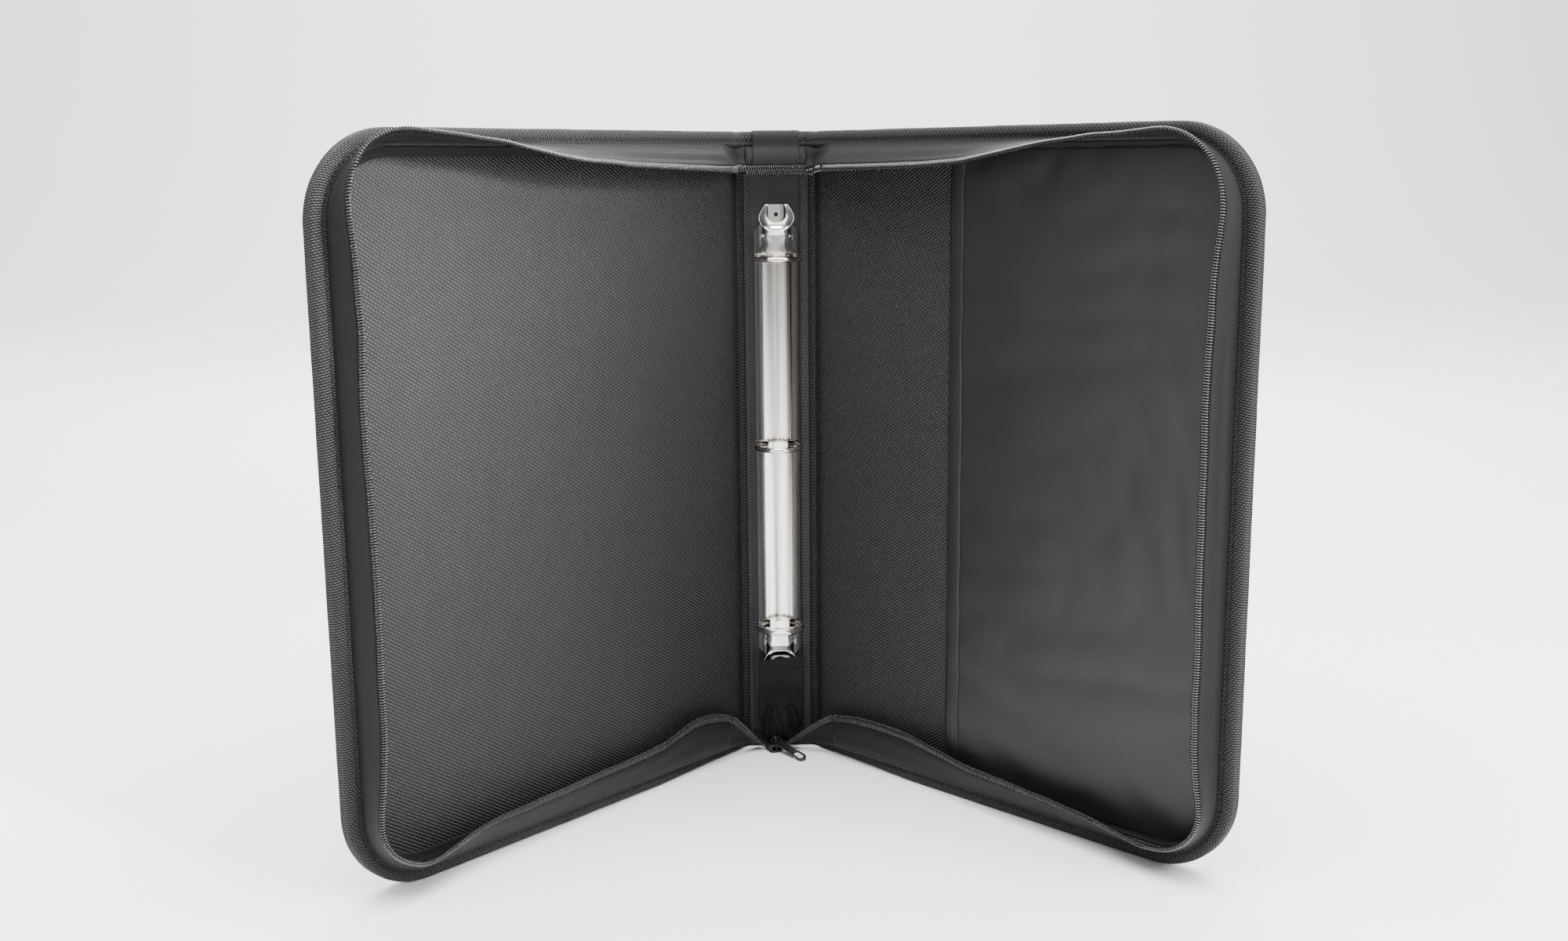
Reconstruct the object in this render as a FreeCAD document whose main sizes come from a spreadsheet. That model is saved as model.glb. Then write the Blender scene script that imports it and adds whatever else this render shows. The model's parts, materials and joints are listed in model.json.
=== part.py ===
import FreeCAD, Part
import math
import os
import re

import Sketcher

# Zip-around ring-binder portfolio case, standing open on its bottom edges.
# X runs to the right, Y away from the reader, Z up. The origin is on the floor under the
# middle of the case's box. Each cover hangs on a living hinge at the spine's outer corner.
# "run" is the distance from a hinge line along its cover, "depth" the distance inward from
# the case's outer face.

SIZES = {
    # case
    "case_height": 365.0,
    "cover_width": 283.0,
    "corner_radius": 44.0,
    "spine_half": 21.7,
    "open_angle": 46.3,
    # layers of a wall, outside to inside
    "skin_thick": 0.9,
    "board_thick": 2.2,
    "lining_thick": 0.9,
    "edge_gap": 0.05,
    "cut_past": 1.0,
    "skin_hinge_gap": 1.2,
    "layer_hinge_gap": 5.6,
    "spine_skin_inset": 0.3,
    "spine_board_inset": 2.2,
    "spine_lining_inset": 1.4,
    # padded border around each cover and over the ends of the spine
    "border_width": 8.5,
    "border_depth": 10.5,
    "border_back_round": 4.0,
    "border_front_round": 3.5,
    "round_share": 0.3,
    "border_start": 11.6,
    "thin_border_depth": 5.6,
    "thin_border_start": 6.4,
    "thin_border_end": 48.0,
    "spine_border_inset": 1.3,
    "spine_foot_depth": 4.4,
    # zip
    "tape_seam_inset": 7.0,
    "tape_lift": 0.5,
    "tape_width": 15.0,
    "tape_thick": 0.8,
    "coil_gap": 0.2,
    "coil_width": 4.0,
    "coil_thick": 2.2,
    "tape_start": 26.0,
    # spine trim
    "seam_tape_width": 7.0,
    "seam_tape_inset": 1.5,
    "seam_tape_thick": 0.7,
    "gusset_half": 17.0,
    "gusset_thick": 0.8,
    "gusset_bottom": 346.0,
    "gusset_front": 14.4,
    "patch_half": 13.5,
    "patch_thick": 0.6,
    # pocket on the right cover
    "pocket_start": 105.0,
    "pocket_gap": 0.4,
    "pocket_thick": 0.7,
    "hem_width": 9.0,
    "hem_thick": 0.6,
    # ring mechanism
    "mechanism_height": 186.35,
    "ring_spacing": 107.95,
    "plate_half_width": 12.5,
    "plate_half_length": 128.6,
    "plate_crown": 6.5,
    "plate_lip": 2.6,
    "plate_sheet": 0.8,
    "shoulder_cut": 5.0,
    "ring_radius": 12.9,
    "ring_wire": 1.45,
    "ring_lift": 0.75,
    "ring_tip_gap": 0.3,
    "ring_root": 1.3,
    "slot_inner": 5.6,
    "slot_outer": 12.1,
    "slot_height": 5.0,
    "stud_radius": 2.6,
    "stud_rise": 0.9,
    "blade_thick": 1.0,
    "blade_lift": 0.8,
    "blade_edge": 11.2,
    "blade_gap": 0.25,
    "blade_half_length": 114.0,
    "lever_pivot": 119.6,
    "lever_pivot_rise": 3.0,
    "lever_pin_radius": 0.9,
    "lever_pin_clearance": 0.05,
    "lever_skirt": 111.0,
    "lever_waist": 120.2,
    "lever_neck": 122.2,
    "lever_flare": 124.5,
    "lever_shoulder": 130.5,
    "lever_crest": 132.0,
    "lever_tip": 138.0,
    "lever_sheet": 0.9,
    "lever_bend_shift": 0.3,
    "lever_skirt_half": 11.6,
    "lever_neck_half": 6.4,
    "lever_flare_half": 6.7,
    "lever_head_half": 9.9,
    "lever_horn_half": 5.9,
    "lever_notch_half": 4.9,
    "lever_notch_side": 130.4,
    "lever_notch_reach": 2.6,
    "lever_lift": 0.35,
    "lever_tip_rise": 11.6,
    "window_start": 116.2,
    "window_half": 8.2,
    "lug_thick": 1.0,
    "lug_margin": 0.7,
    "tongue_half": 4.4,
    "tongue_end": 138.0,
    "eyelet_place": 132.4,
    "eyelet_radius": 2.4,
    "eyelet_bore": 1.2,
    "eyelet_rise": 1.9,
    # end of the zip, slider and pull
    "tab_half": 13.0,
    "tab_low_half": 8.0,
    "tab_top": 59.0,
    "tab_thick": 1.6,
    "tab_clearance": 1.0,
    "tab_seat": 0.3,
    "tab_lift": 0.8,
    "tab_back_depth": 8.0,
    "tab_bend_low": 33.0,
    "tab_bend_high": 45.0,
    "tab_bend_step": 0.6,
    "tab_trim_low": 8.0,
    "tab_trim_high": 18.0,
    "tail_half": 2.7,
    "tail_thick": 2.0,
    "tail_reach": 6.8,
    "tail_long": 4.8,
    "slider_x": -4.6,
    "slider_front": 11.8,
    "slider_yaw": 30.0,
    "slider_long": 10.0,
    "slider_wide": 8.8,
    "slider_base": 0.3,
    "slider_tall": 4.8,
    "slider_plate": 1.1,
    "slider_wall": 1.0,
    "wedge_radius": 1.2,
    "wedge_inset": 2.2,
    "wedge_weld": 0.2,
    "bridge_span": 7.0,
    "bridge_leg": 1.3,
    "bridge_tall": 4.3,
    "pull_yaw": 42.6,
    "pull_droop": 12.2,
    "pull_rise": 7.1,
    "pull_long": 27.0,
    "pull_thick": 1.2,
    "pull_root_half": 2.9,
    "pull_end_half": 2.8,
    "pull_nose_half": 1.1,
    "pull_window_half": 1.9,
    "pull_window_long": 4.8,
    "pull_shoulder": 2.0,
    "pull_hole_half": 1.4,
    "pull_hole_end_half": 0.7,
    "pull_hole_bevel": 1.0,
    "pull_hole_long": 6.0,
    "pull_hole_margin": 2.2,
}

# Sizes that follow from the driving ones, as rules in the sheet's own words.
FOLLOWS = {
    "wall_depth": "skin_thick + board_thick + lining_thick",
    "arch_rise": "plate_crown - plate_lip",
    "arch_radius": "(plate_half_width^2 + arch_rise^2) / (2 * arch_rise)",
    "ring_centre": "ring_radius + ring_lift",
    "ring_tip_angle": "atan(ring_tip_gap / 2 / ring_radius) / 1 deg",
    "ring_sweep": "90 - ring_tip_angle + asin((ring_centre - ring_root) / ring_radius) / 1 deg",
    "eyelet_wall": "(eyelet_radius - eyelet_bore) / 2",
    "lug_reach": "lever_pin_radius + lug_margin",
    "shoulder_side": "shoulder_cut * sqrt(2)",
    "lug_top": "lever_pivot_rise + lug_reach",
    "ear_base": "lever_pivot_rise - lug_reach",
    "tab_front": "wall_depth + lever_tip_rise + lever_sheet + tab_clearance + tab_thick",
}

# Lean of the zip tape towards the middle of its cover, in degrees, at places along its path.
# A place is the run's name and the share of that run: the tape curls in near the spine and
# stands outward at the two corners.
TAPE_LEAN = (
    ("top", 0.0, 57.0),
    ("top", 0.42, 47.0),
    ("top", 0.84, -4.0),
    ("upper corner", 0.5, -18.0),
    ("side", 0.1, 9.0),
    ("side", 0.5, 14.0),
    ("side", 0.9, 10.0),
    ("lower corner", 0.5, -8.0),
    ("lower corner", 1.0, 18.0),
    ("bottom", 0.22, 48.0),
    ("bottom", 0.55, 72.0),
    ("bottom", 1.0, 88.0),
)
PATH_STEPS = {"top": 14, "upper corner": 8, "side": 10, "lower corner": 8, "bottom": 14}

DOC = FreeCAD.newDocument("PortfolioCase")
SHEET = DOC.addObject("Spreadsheet::Sheet", "Sizes")
NODES = {}
WORDS = []
TOUCH = 1e-4
WORD = re.compile(r"[a-z_]+")


def write_cell(alias, content):
    """Add one named cell to the sheet."""
    WORDS.append(alias)
    row = len(WORDS)
    SHEET.set(f"A{row}", alias)
    SHEET.set(f"B{row}", content)
    SHEET.setAlias(f"B{row}", alias)
    DOC.recompute()


def write_sheet():
    """Put every size in the sheet: the driving ones as numbers, the rest as formulas."""
    for alias, value in SIZES.items():
        write_cell(alias, str(value))
    for alias, rule in FOLLOWS.items():
        write_cell(alias, "=" + rule)
    write_cell("spine_back", str(front_reach() / 2))


def size(alias):
    """The value of one cell."""
    return float(SHEET.get(alias))


def in_sheet(rule):
    """A rule with the sheet's name before each of its words."""
    return WORD.sub(lambda m: "Sizes." + m[0] if m[0] in WORDS else m[0], rule)


def bind(thing, prop, rule):
    """Tie a property to a rule written in the sheet's own words."""
    thing.setExpression(prop, in_sheet(rule))


def node(label, thing):
    """Make an object a named sub-part."""
    thing.Label = label
    NODES[label] = thing
    return thing


def place(thing, x="0", y="0", z="0"):
    """Put an object's corner or centre at a rule for each axis."""
    bind(thing, ".Placement.Base.x", x)
    bind(thing, ".Placement.Base.y", y)
    bind(thing, ".Placement.Base.z", z)
    return thing


def box(name, x, y, z, wide, deep, tall):
    """A block from its low corner and its three sides."""
    block = DOC.addObject("Part::Box", name)
    bind(block, "Length", wide)
    bind(block, "Width", deep)
    bind(block, "Height", tall)
    return place(block, x, y, z)


def rod(name, x, y, z, radius, length, axis="Z"):
    """A cylinder from the centre of its first end."""
    bar = DOC.addObject("Part::Cylinder", name)
    bind(bar, "Radius", radius)
    bind(bar, "Height", length)
    turn = {"X": ((0, 1, 0), 90), "Y": ((1, 0, 0), -90), "Z": ((0, 0, 1), 0)}[axis]
    bar.Placement = FreeCAD.Placement(FreeCAD.Vector(), FreeCAD.Rotation(FreeCAD.Vector(turn[0]), turn[1]))
    return place(bar, x, y, z)


def fuse(name, *parts):
    """Join shapes into one solid."""
    joined = DOC.addObject("Part::MultiFuse", name)
    joined.Shapes = list(parts)
    joined.Refine = True
    return joined


def cut(name, base, *tools):
    """Take tools away from a base."""
    tool = tools[0] if len(tools) == 1 else fuse(name + "_tools", *tools)
    result = DOC.addObject("Part::Cut", name)
    result.Base = base
    result.Tool = tool
    return result


def common(name, one, other):
    """Keep what two shapes share."""
    result = DOC.addObject("Part::Common", name)
    result.Base = one
    result.Tool = other
    return result


def new_body(label):
    """A PartDesign body that will be exported under its label."""
    return node(label, DOC.addObject("PartDesign::Body", label + "_body"))


def plane_of(body, role):
    """One of the body's own origin planes."""
    return next(f for f in body.Origin.OriginFeatures if f.Role == role)


def polygon(body, name, role, corners, offset="0"):
    """A closed sketch whose corners are rule pairs measured from the sketch's origin."""
    sketch = body.newObject("Sketcher::SketchObject", name)
    sketch.AttachmentSupport = (plane_of(body, role), "")
    sketch.MapMode = "FlatFace"
    bind(sketch, ".AttachmentOffset.Base.z", offset)
    values = [(measure(a), measure(b)) for a, b in corners]
    count = len(values)
    for i, (a, b) in enumerate(values):
        c, d = values[(i + 1) % count]
        sketch.addGeometry(Part.LineSegment(FreeCAD.Vector(a, b, 0), FreeCAD.Vector(c, d, 0)), False)
    for i in range(count):
        sketch.addConstraint(Sketcher.Constraint("Coincident", i, 2, (i + 1) % count, 1))
    for i, (a, b) in enumerate(corners):
        for kind, rule, value in (("DistanceX", a, values[i][0]), ("DistanceY", b, values[i][1])):
            if value == 0.0:
                line = -2 if kind == "DistanceX" else -1
                sketch.addConstraint(Sketcher.Constraint("PointOnObject", i, 1, line))
                continue
            index = sketch.addConstraint(Sketcher.Constraint(kind, -1, 1, i, 1, value))
            bind(sketch, f"Constraints[{index}]", rule)
    return sketch


def measure(rule):
    """The present value of a rule written in the sheet's words."""
    return float(SHEET.evalExpression(in_sheet(rule)))


def pad(body, name, sketch, length, midplane=False):
    """Pad a sketch by a rule."""
    feature = body.newObject("PartDesign::Pad", name)
    feature.Profile = sketch
    bind(feature, "Length", length)
    feature.Midplane = midplane
    DOC.recompute()
    return feature


def pocket(body, name, sketch):
    """Cut a sketch right through, both ways, and make sure that it cuts."""
    before = body.Shape.Volume
    feature = body.newObject("PartDesign::Pocket", name)
    feature.Profile = sketch
    feature.Type = 1
    feature.Midplane = True
    DOC.recompute()
    assert body.Shape.Volume < before - TOUCH, name + " cut nothing"


def round_edges(body, name, base, radius, wanted):
    """Fillet the edges of a feature that a test picks out."""
    DOC.recompute()
    names = [f"Edge{i}" for i, edge in enumerate(base.Shape.Edges, start=1) if wanted(edge)]
    assert names, name + " found no edge"
    feature = body.newObject("PartDesign::Fillet", name)
    feature.Base = (base, names)
    bind(feature, "Radius", radius)
    DOC.recompute()


def mirror(label, source):
    """The left-hand twin of a right-hand sub-part."""
    twin = DOC.addObject("Part::Mirroring", label + "_mirror")
    twin.Source = source
    twin.Base = FreeCAD.Vector(0, 0, 0)
    twin.Normal = FreeCAD.Vector(1, 0, 0)
    return node(label, twin)


# ---------------------------------------------------------------- covers

def spin(thing, rule):
    """Turn an object about the vertical by a rule in degrees."""
    thing.Placement.Rotation = FreeCAD.Rotation(FreeCAD.Vector(0, 0, 1), measure(rule))
    bind(thing, ".Placement.Rotation.Angle", f"({rule}) * 1 deg")
    return thing


def hang_on_hinge(thing):
    """Turn an object drawn flat at the hinge line to the cover's open angle."""
    return place(spin(thing, "-open_angle"), "spine_half", "spine_back", "0")


def cover_panel(label, start, inset, depth, thick):
    """A flat layer of the right cover, with its two outer corners rounded."""
    body = new_body(label)
    far = f"cover_width - ({inset})"
    low = inset
    high = f"case_height - ({inset})"
    outline = polygon(body, label + "_outline", "XZ_Plane",
                      [(start, low), (far, low), (far, high), (start, high)], depth)
    base = pad(body, label + "_pad", outline, thick)
    reach = measure(far)

    def at_outer_corner(edge):
        bound = edge.BoundBox
        return bound.XMin > reach - TOUCH and bound.ZLength < TOUCH

    round_edges(body, label + "_corners", base, f"corner_radius - ({inset})", at_outer_corner)
    return hang_on_hinge(body)


def cover_border(label):
    """The padded roll swept round the three free sides of the right cover."""
    body = new_body(label)
    path = body.newObject("Sketcher::SketchObject", label + "_path")
    path.AttachmentSupport = (plane_of(body, "XZ_Plane"), "")
    path.MapMode = "FlatFace"
    start, low_start = size("border_start"), size("thin_border_end")
    inset = size("border_width") / 2
    reach, top = size("cover_width") - inset, size("case_height") - inset
    turn = size("corner_radius") - inset
    vector = FreeCAD.Vector
    path.addGeometry(Part.LineSegment(vector(start, top, 0), vector(reach - turn, top, 0)), False)
    path.addGeometry(Part.ArcOfCircle(
        Part.Circle(vector(reach - turn, top - turn, 0), vector(0, 0, 1), turn), 0, math.pi / 2), False)
    path.addGeometry(Part.LineSegment(vector(reach, top - turn, 0), vector(reach, inset + turn, 0)), False)
    path.addGeometry(Part.ArcOfCircle(
        Part.Circle(vector(reach - turn, inset + turn, 0), vector(0, 0, 1), turn),
        1.5 * math.pi, 2 * math.pi), False)
    path.addGeometry(Part.LineSegment(vector(reach - turn, inset, 0), vector(low_start, inset, 0)), False)
    for one, end, other, begin in ((0, 2, 1, 2), (1, 1, 2, 1), (2, 2, 3, 2), (3, 1, 4, 1)):
        path.addConstraint(Sketcher.Constraint("Tangent", one, end, other, begin))
    path.addConstraint(Sketcher.Constraint("Horizontal", 0))
    path.addConstraint(Sketcher.Constraint("Vertical", 2))
    path.addConstraint(Sketcher.Constraint("Horizontal", 4))
    path.addConstraint(Sketcher.Constraint("Equal", 1, 3))
    rules = (
        ("DistanceX", 0, 1, start, "border_start"),
        ("DistanceY", 0, 1, top, "case_height - border_width / 2"),
        ("DistanceX", 2, 1, reach, "cover_width - border_width / 2"),
        ("DistanceY", 4, 1, inset, "border_width / 2"),
        ("DistanceX", 4, 2, low_start, "thin_border_end"),
    )
    for kind, line, end, value, rule in rules:
        index = path.addConstraint(Sketcher.Constraint(kind, -1, 1, line, end, value))
        bind(path, f"Constraints[{index}]", rule)
    index = path.addConstraint(Sketcher.Constraint("Radius", 1, turn))
    bind(path, f"Constraints[{index}]", "corner_radius - border_width / 2")
    inner = "case_height - border_width"
    section = polygon(body, label + "_section", "YZ_Plane", [
        ("0", inner),
        ("0", "case_height - border_back_round"),
        ("-border_back_round * round_share", "case_height - border_back_round * round_share"),
        ("-border_back_round", "case_height"),
        ("-(border_depth - border_front_round)", "case_height"),
        ("-(border_depth - border_front_round * round_share)",
         "case_height - border_front_round * round_share"),
        ("-border_depth", "case_height - border_front_round"),
        ("-border_depth", inner),
    ], "border_start")
    DOC.recompute()
    sweep = body.newObject("PartDesign::AdditivePipe", label + "_sweep")
    sweep.Profile = section
    sweep.Spine = (path, [])
    DOC.recompute()
    return hang_on_hinge(body)


def cover_block(label, start, end, low, high, depth, thick):
    """A straight bar of the right cover, given by its run, its height and its depth."""
    block = DOC.addObject("Part::Box", label + "_block")
    bind(block, "Length", f"({end}) - ({start})")
    bind(block, "Width", thick)
    bind(block, "Height", f"({high}) - ({low})")
    spin(block, "-open_angle")
    inner = f"(({depth}) + ({thick}))"
    turn = "(open_angle * 1 deg)"
    place(block,
          f"spine_half + ({start}) * cos{turn} - {inner} * sin{turn}",
          f"spine_back - ({start}) * sin{turn} - {inner} * cos{turn}", low)
    return node(label, block)


def tape_path():
    """Stations of the zip's seam: run, height and outward direction, with the lean at each."""
    inset = size("tape_seam_inset")
    wide, tall, radius = size("cover_width"), size("case_height"), size("corner_radius")
    straight, turn = wide - radius, radius - inset
    lengths = {"top": straight - size("tape_start"), "upper corner": turn * math.pi / 2,
               "side": tall - 2 * radius, "lower corner": turn * math.pi / 2,
               "bottom": straight - size("tape_start")}
    offsets, total = {}, 0.0
    for run, length in lengths.items():
        offsets[run] = total
        total += length
    leans = [(offsets[run] + share * lengths[run], angle) for run, share, angle in TAPE_LEAN]

    def lean(distance):
        for (a, low), (b, high) in zip(leans, leans[1:]):
            if distance <= b + TOUCH:
                share = 0.5 - 0.5 * math.cos(math.pi * (distance - a) / (b - a))
                return low + (high - low) * share
        return leans[-1][1]

    stations = []
    for run, steps in PATH_STEPS.items():
        for step in range(steps):
            share = step / steps
            stations.append((run, share))
    stations.append(("bottom", 1.0))
    result = []
    for run, share in stations:
        along = share * lengths[run]
        if run == "top":
            spot, outward = (size("tape_start") + along, tall - inset), (0.0, 1.0)
        elif run == "side":
            spot, outward = (wide - inset, tall - radius - along), (1.0, 0.0)
        elif run == "bottom":
            spot, outward = (straight - along, inset), (0.0, -1.0)
        else:
            angle = share * math.pi / 2
            centre = tall - radius if run == "upper corner" else radius
            outward = (math.sin(angle), math.cos(angle)) if run == "upper corner" else (
                math.cos(angle), -math.sin(angle))
            spot = (straight + turn * outward[0], centre + turn * outward[1])
        result.append((spot, outward, math.radians(lean(offsets[run] + along))))
    return result


def front_reach():
    """How far the open case reaches in front of the back of its spine."""
    angle = math.radians(size("open_angle"))
    lift = size("border_depth") + size("tape_lift")
    far = size("tape_width") + size("coil_gap") + size("coil_width")
    half = size("coil_thick") / 2
    reaches = []
    for (run, _), (out_run, _), lean in tape_path():
        outward = -far * math.sin(lean) + half * math.cos(lean)
        depth = lift + far * math.cos(lean) + half * math.sin(lean)
        reaches.append((run + outward * out_run) * math.sin(angle) + depth * math.cos(angle))
    return max(reaches)


def on_right_cover(run, height, depth):
    """A point of the right cover in the case's frame."""
    angle = math.radians(size("open_angle"))
    return FreeCAD.Vector(
        size("spine_half") + run * math.cos(angle) - depth * math.sin(angle),
        size("spine_back") - run * math.sin(angle) - depth * math.cos(angle), height)


def flat_face(*corners):
    """A flat face through three or four corners."""
    return Part.Face(Part.makePolygon([*corners, corners[0]]))


def zip_strip(label, near, far, thick):
    """A closed strip along the zip, from one distance up the tape to another."""
    base = size("border_depth") + size("tape_lift")
    rings = []
    for (run, height), (out_run, out_height), lean in tape_path():
        corners = []
        for up, side in ((near, -thick / 2), (far, -thick / 2), (far, thick / 2), (near, thick / 2)):
            outward = -up * math.sin(lean) + side * math.cos(lean)
            depth = base + up * math.cos(lean) + side * math.sin(lean)
            corners.append(on_right_cover(run + outward * out_run, height + outward * out_height, depth))
        rings.append(corners)
    faces = [flat_face(*rings[0]), flat_face(*reversed(rings[-1]))]
    for here, there in zip(rings, rings[1:]):
        for i in range(4):
            k = (i + 1) % 4
            faces.append(flat_face(here[i], there[i], there[k]))
            faces.append(flat_face(here[i], there[k], here[k]))
    solid = Part.makeSolid(Part.makeShell(faces))
    if solid.Volume < 0:
        solid.reverse()
    strip = DOC.addObject("Part::Feature", label + "_strip")
    strip.Shape = solid
    return node(label, strip)


def make_covers():
    """Both covers, the left one the mirror image of the right one, and the pocket."""
    layers = "border_width + edge_gap"
    cover_panel("right_outer_skin", "skin_hinge_gap", layers, "0", "skin_thick")
    cover_panel("right_board", "layer_hinge_gap", layers, "skin_thick", "board_thick")
    cover_panel("right_lining", "layer_hinge_gap", layers, "skin_thick + board_thick", "lining_thick")
    cover_border("right_border")
    cover_block("right_border_hinge_end", "thin_border_start", "thin_border_end - edge_gap",
                "0", "border_width", "0", "thin_border_depth")
    zip_strip("right_zip_tape", 0.0, size("tape_width"), size("tape_thick"))
    coil = size("tape_width") + size("coil_gap")
    zip_strip("right_zip_coil", coil, coil + size("coil_width"), size("coil_thick"))
    for label in [name for name in NODES if name.startswith("right_")]:
        mirror(label.replace("right_", "left_"), NODES[label])
    cover_panel("pocket_panel", "pocket_start", layers, "wall_depth + pocket_gap", "pocket_thick")
    cover_block("pocket_hem", "pocket_start", "pocket_start + hem_width", layers,
                f"case_height - ({layers})", "wall_depth + pocket_gap + pocket_thick + edge_gap", "hem_thick")


# ---------------------------------------------------------------- spine

def spine_layer(label, inset, depth, thick, low="border_width + edge_gap", high=None):
    """A layer of the spine's wall."""
    high = high or "case_height - border_width - edge_gap"
    layer = box(label + "_layer", f"-(spine_half - {inset})", f"spine_back - ({depth}) - ({thick})", low,
                f"2 * (spine_half - {inset})", thick, f"({high}) - ({low})")
    return node(label, layer)


def side_profile(label, half_width, corners):
    """A bar across the spine whose section is given by depth and height."""
    body = new_body(label)
    section = polygon(body, label + "_section", "YZ_Plane",
                      [(f"spine_back - ({depth})", height) for depth, height in corners])
    pad(body, label + "_pad", section, f"2 * ({half_width})", midplane=True)
    return body


def make_spine():
    """The spine's wall, its trim and the end of the zip across its top."""
    spine_layer("spine_outer_skin", "spine_skin_inset", "0", "skin_thick")
    spine_layer("spine_board", "spine_board_inset", "skin_thick", "board_thick")
    spine_layer("spine_lining", "spine_lining_inset", "skin_thick + board_thick", "lining_thick")
    inner = "case_height - border_width"
    side_profile("spine_top_border", "spine_half - spine_border_inset", [
        ("0", inner),
        ("0", "case_height - border_back_round"),
        ("border_back_round * round_share", "case_height - border_back_round * round_share"),
        ("border_back_round", "case_height"),
        ("border_depth - border_front_round", "case_height"),
        ("border_depth - border_front_round * round_share", "case_height - border_front_round * round_share"),
        ("border_depth", "case_height - border_front_round"),
        ("border_depth", inner),
    ])
    node("spine_bottom_border", box(
        "bottom_border_bar", "-(spine_half - spine_border_inset)", "spine_back - spine_foot_depth", "0",
        "2 * (spine_half - spine_border_inset)", "spine_foot_depth", "border_width"))
    for side in ("left", "right"):
        near = "spine_half - seam_tape_inset"
        x = f"-({near})" if side == "left" else f"{near} - seam_tape_width"
        node(f"{side}_seam_tape", box(
            f"{side}_seam_strip", x, "spine_back - wall_depth - seam_tape_thick", "border_width + edge_gap",
            "seam_tape_width", "seam_tape_thick", "case_height - 2 * (border_width + edge_gap)"))
    side_profile("top_gusset", "gusset_half", [
        ("border_depth + edge_gap - gusset_thick", f"{inner} - edge_gap"),
        ("border_depth + edge_gap", f"{inner} - edge_gap"),
        ("gusset_front", "gusset_bottom"),
        ("gusset_front - gusset_thick", "gusset_bottom"),
    ])
    side_profile("top_binding_patch", "patch_half", [
        ("border_depth + edge_gap", f"{inner} - edge_gap"),
        ("border_depth + edge_gap", "case_height - border_front_round"),
        ("border_depth + edge_gap + patch_thick", "case_height - border_front_round"),
        ("border_depth + edge_gap + patch_thick", f"{inner} - edge_gap"),
        ("gusset_front + patch_thick", "gusset_bottom"),
        ("gusset_front + edge_gap", "gusset_bottom"),
    ])
    node("top_closed_chain", box(
        "closed_chain_bar", "-gusset_half", "spine_back - gusset_front - patch_thick",
        "gusset_bottom - edge_gap - coil_width", "2 * gusset_half", "coil_thick", "coil_width"))


# ---------------------------------------------------------------- ring mechanism

def face(depth):
    """Where a depth above the spine's lining lies along Y."""
    return f"spine_back - wall_depth - ({depth})"


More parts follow.
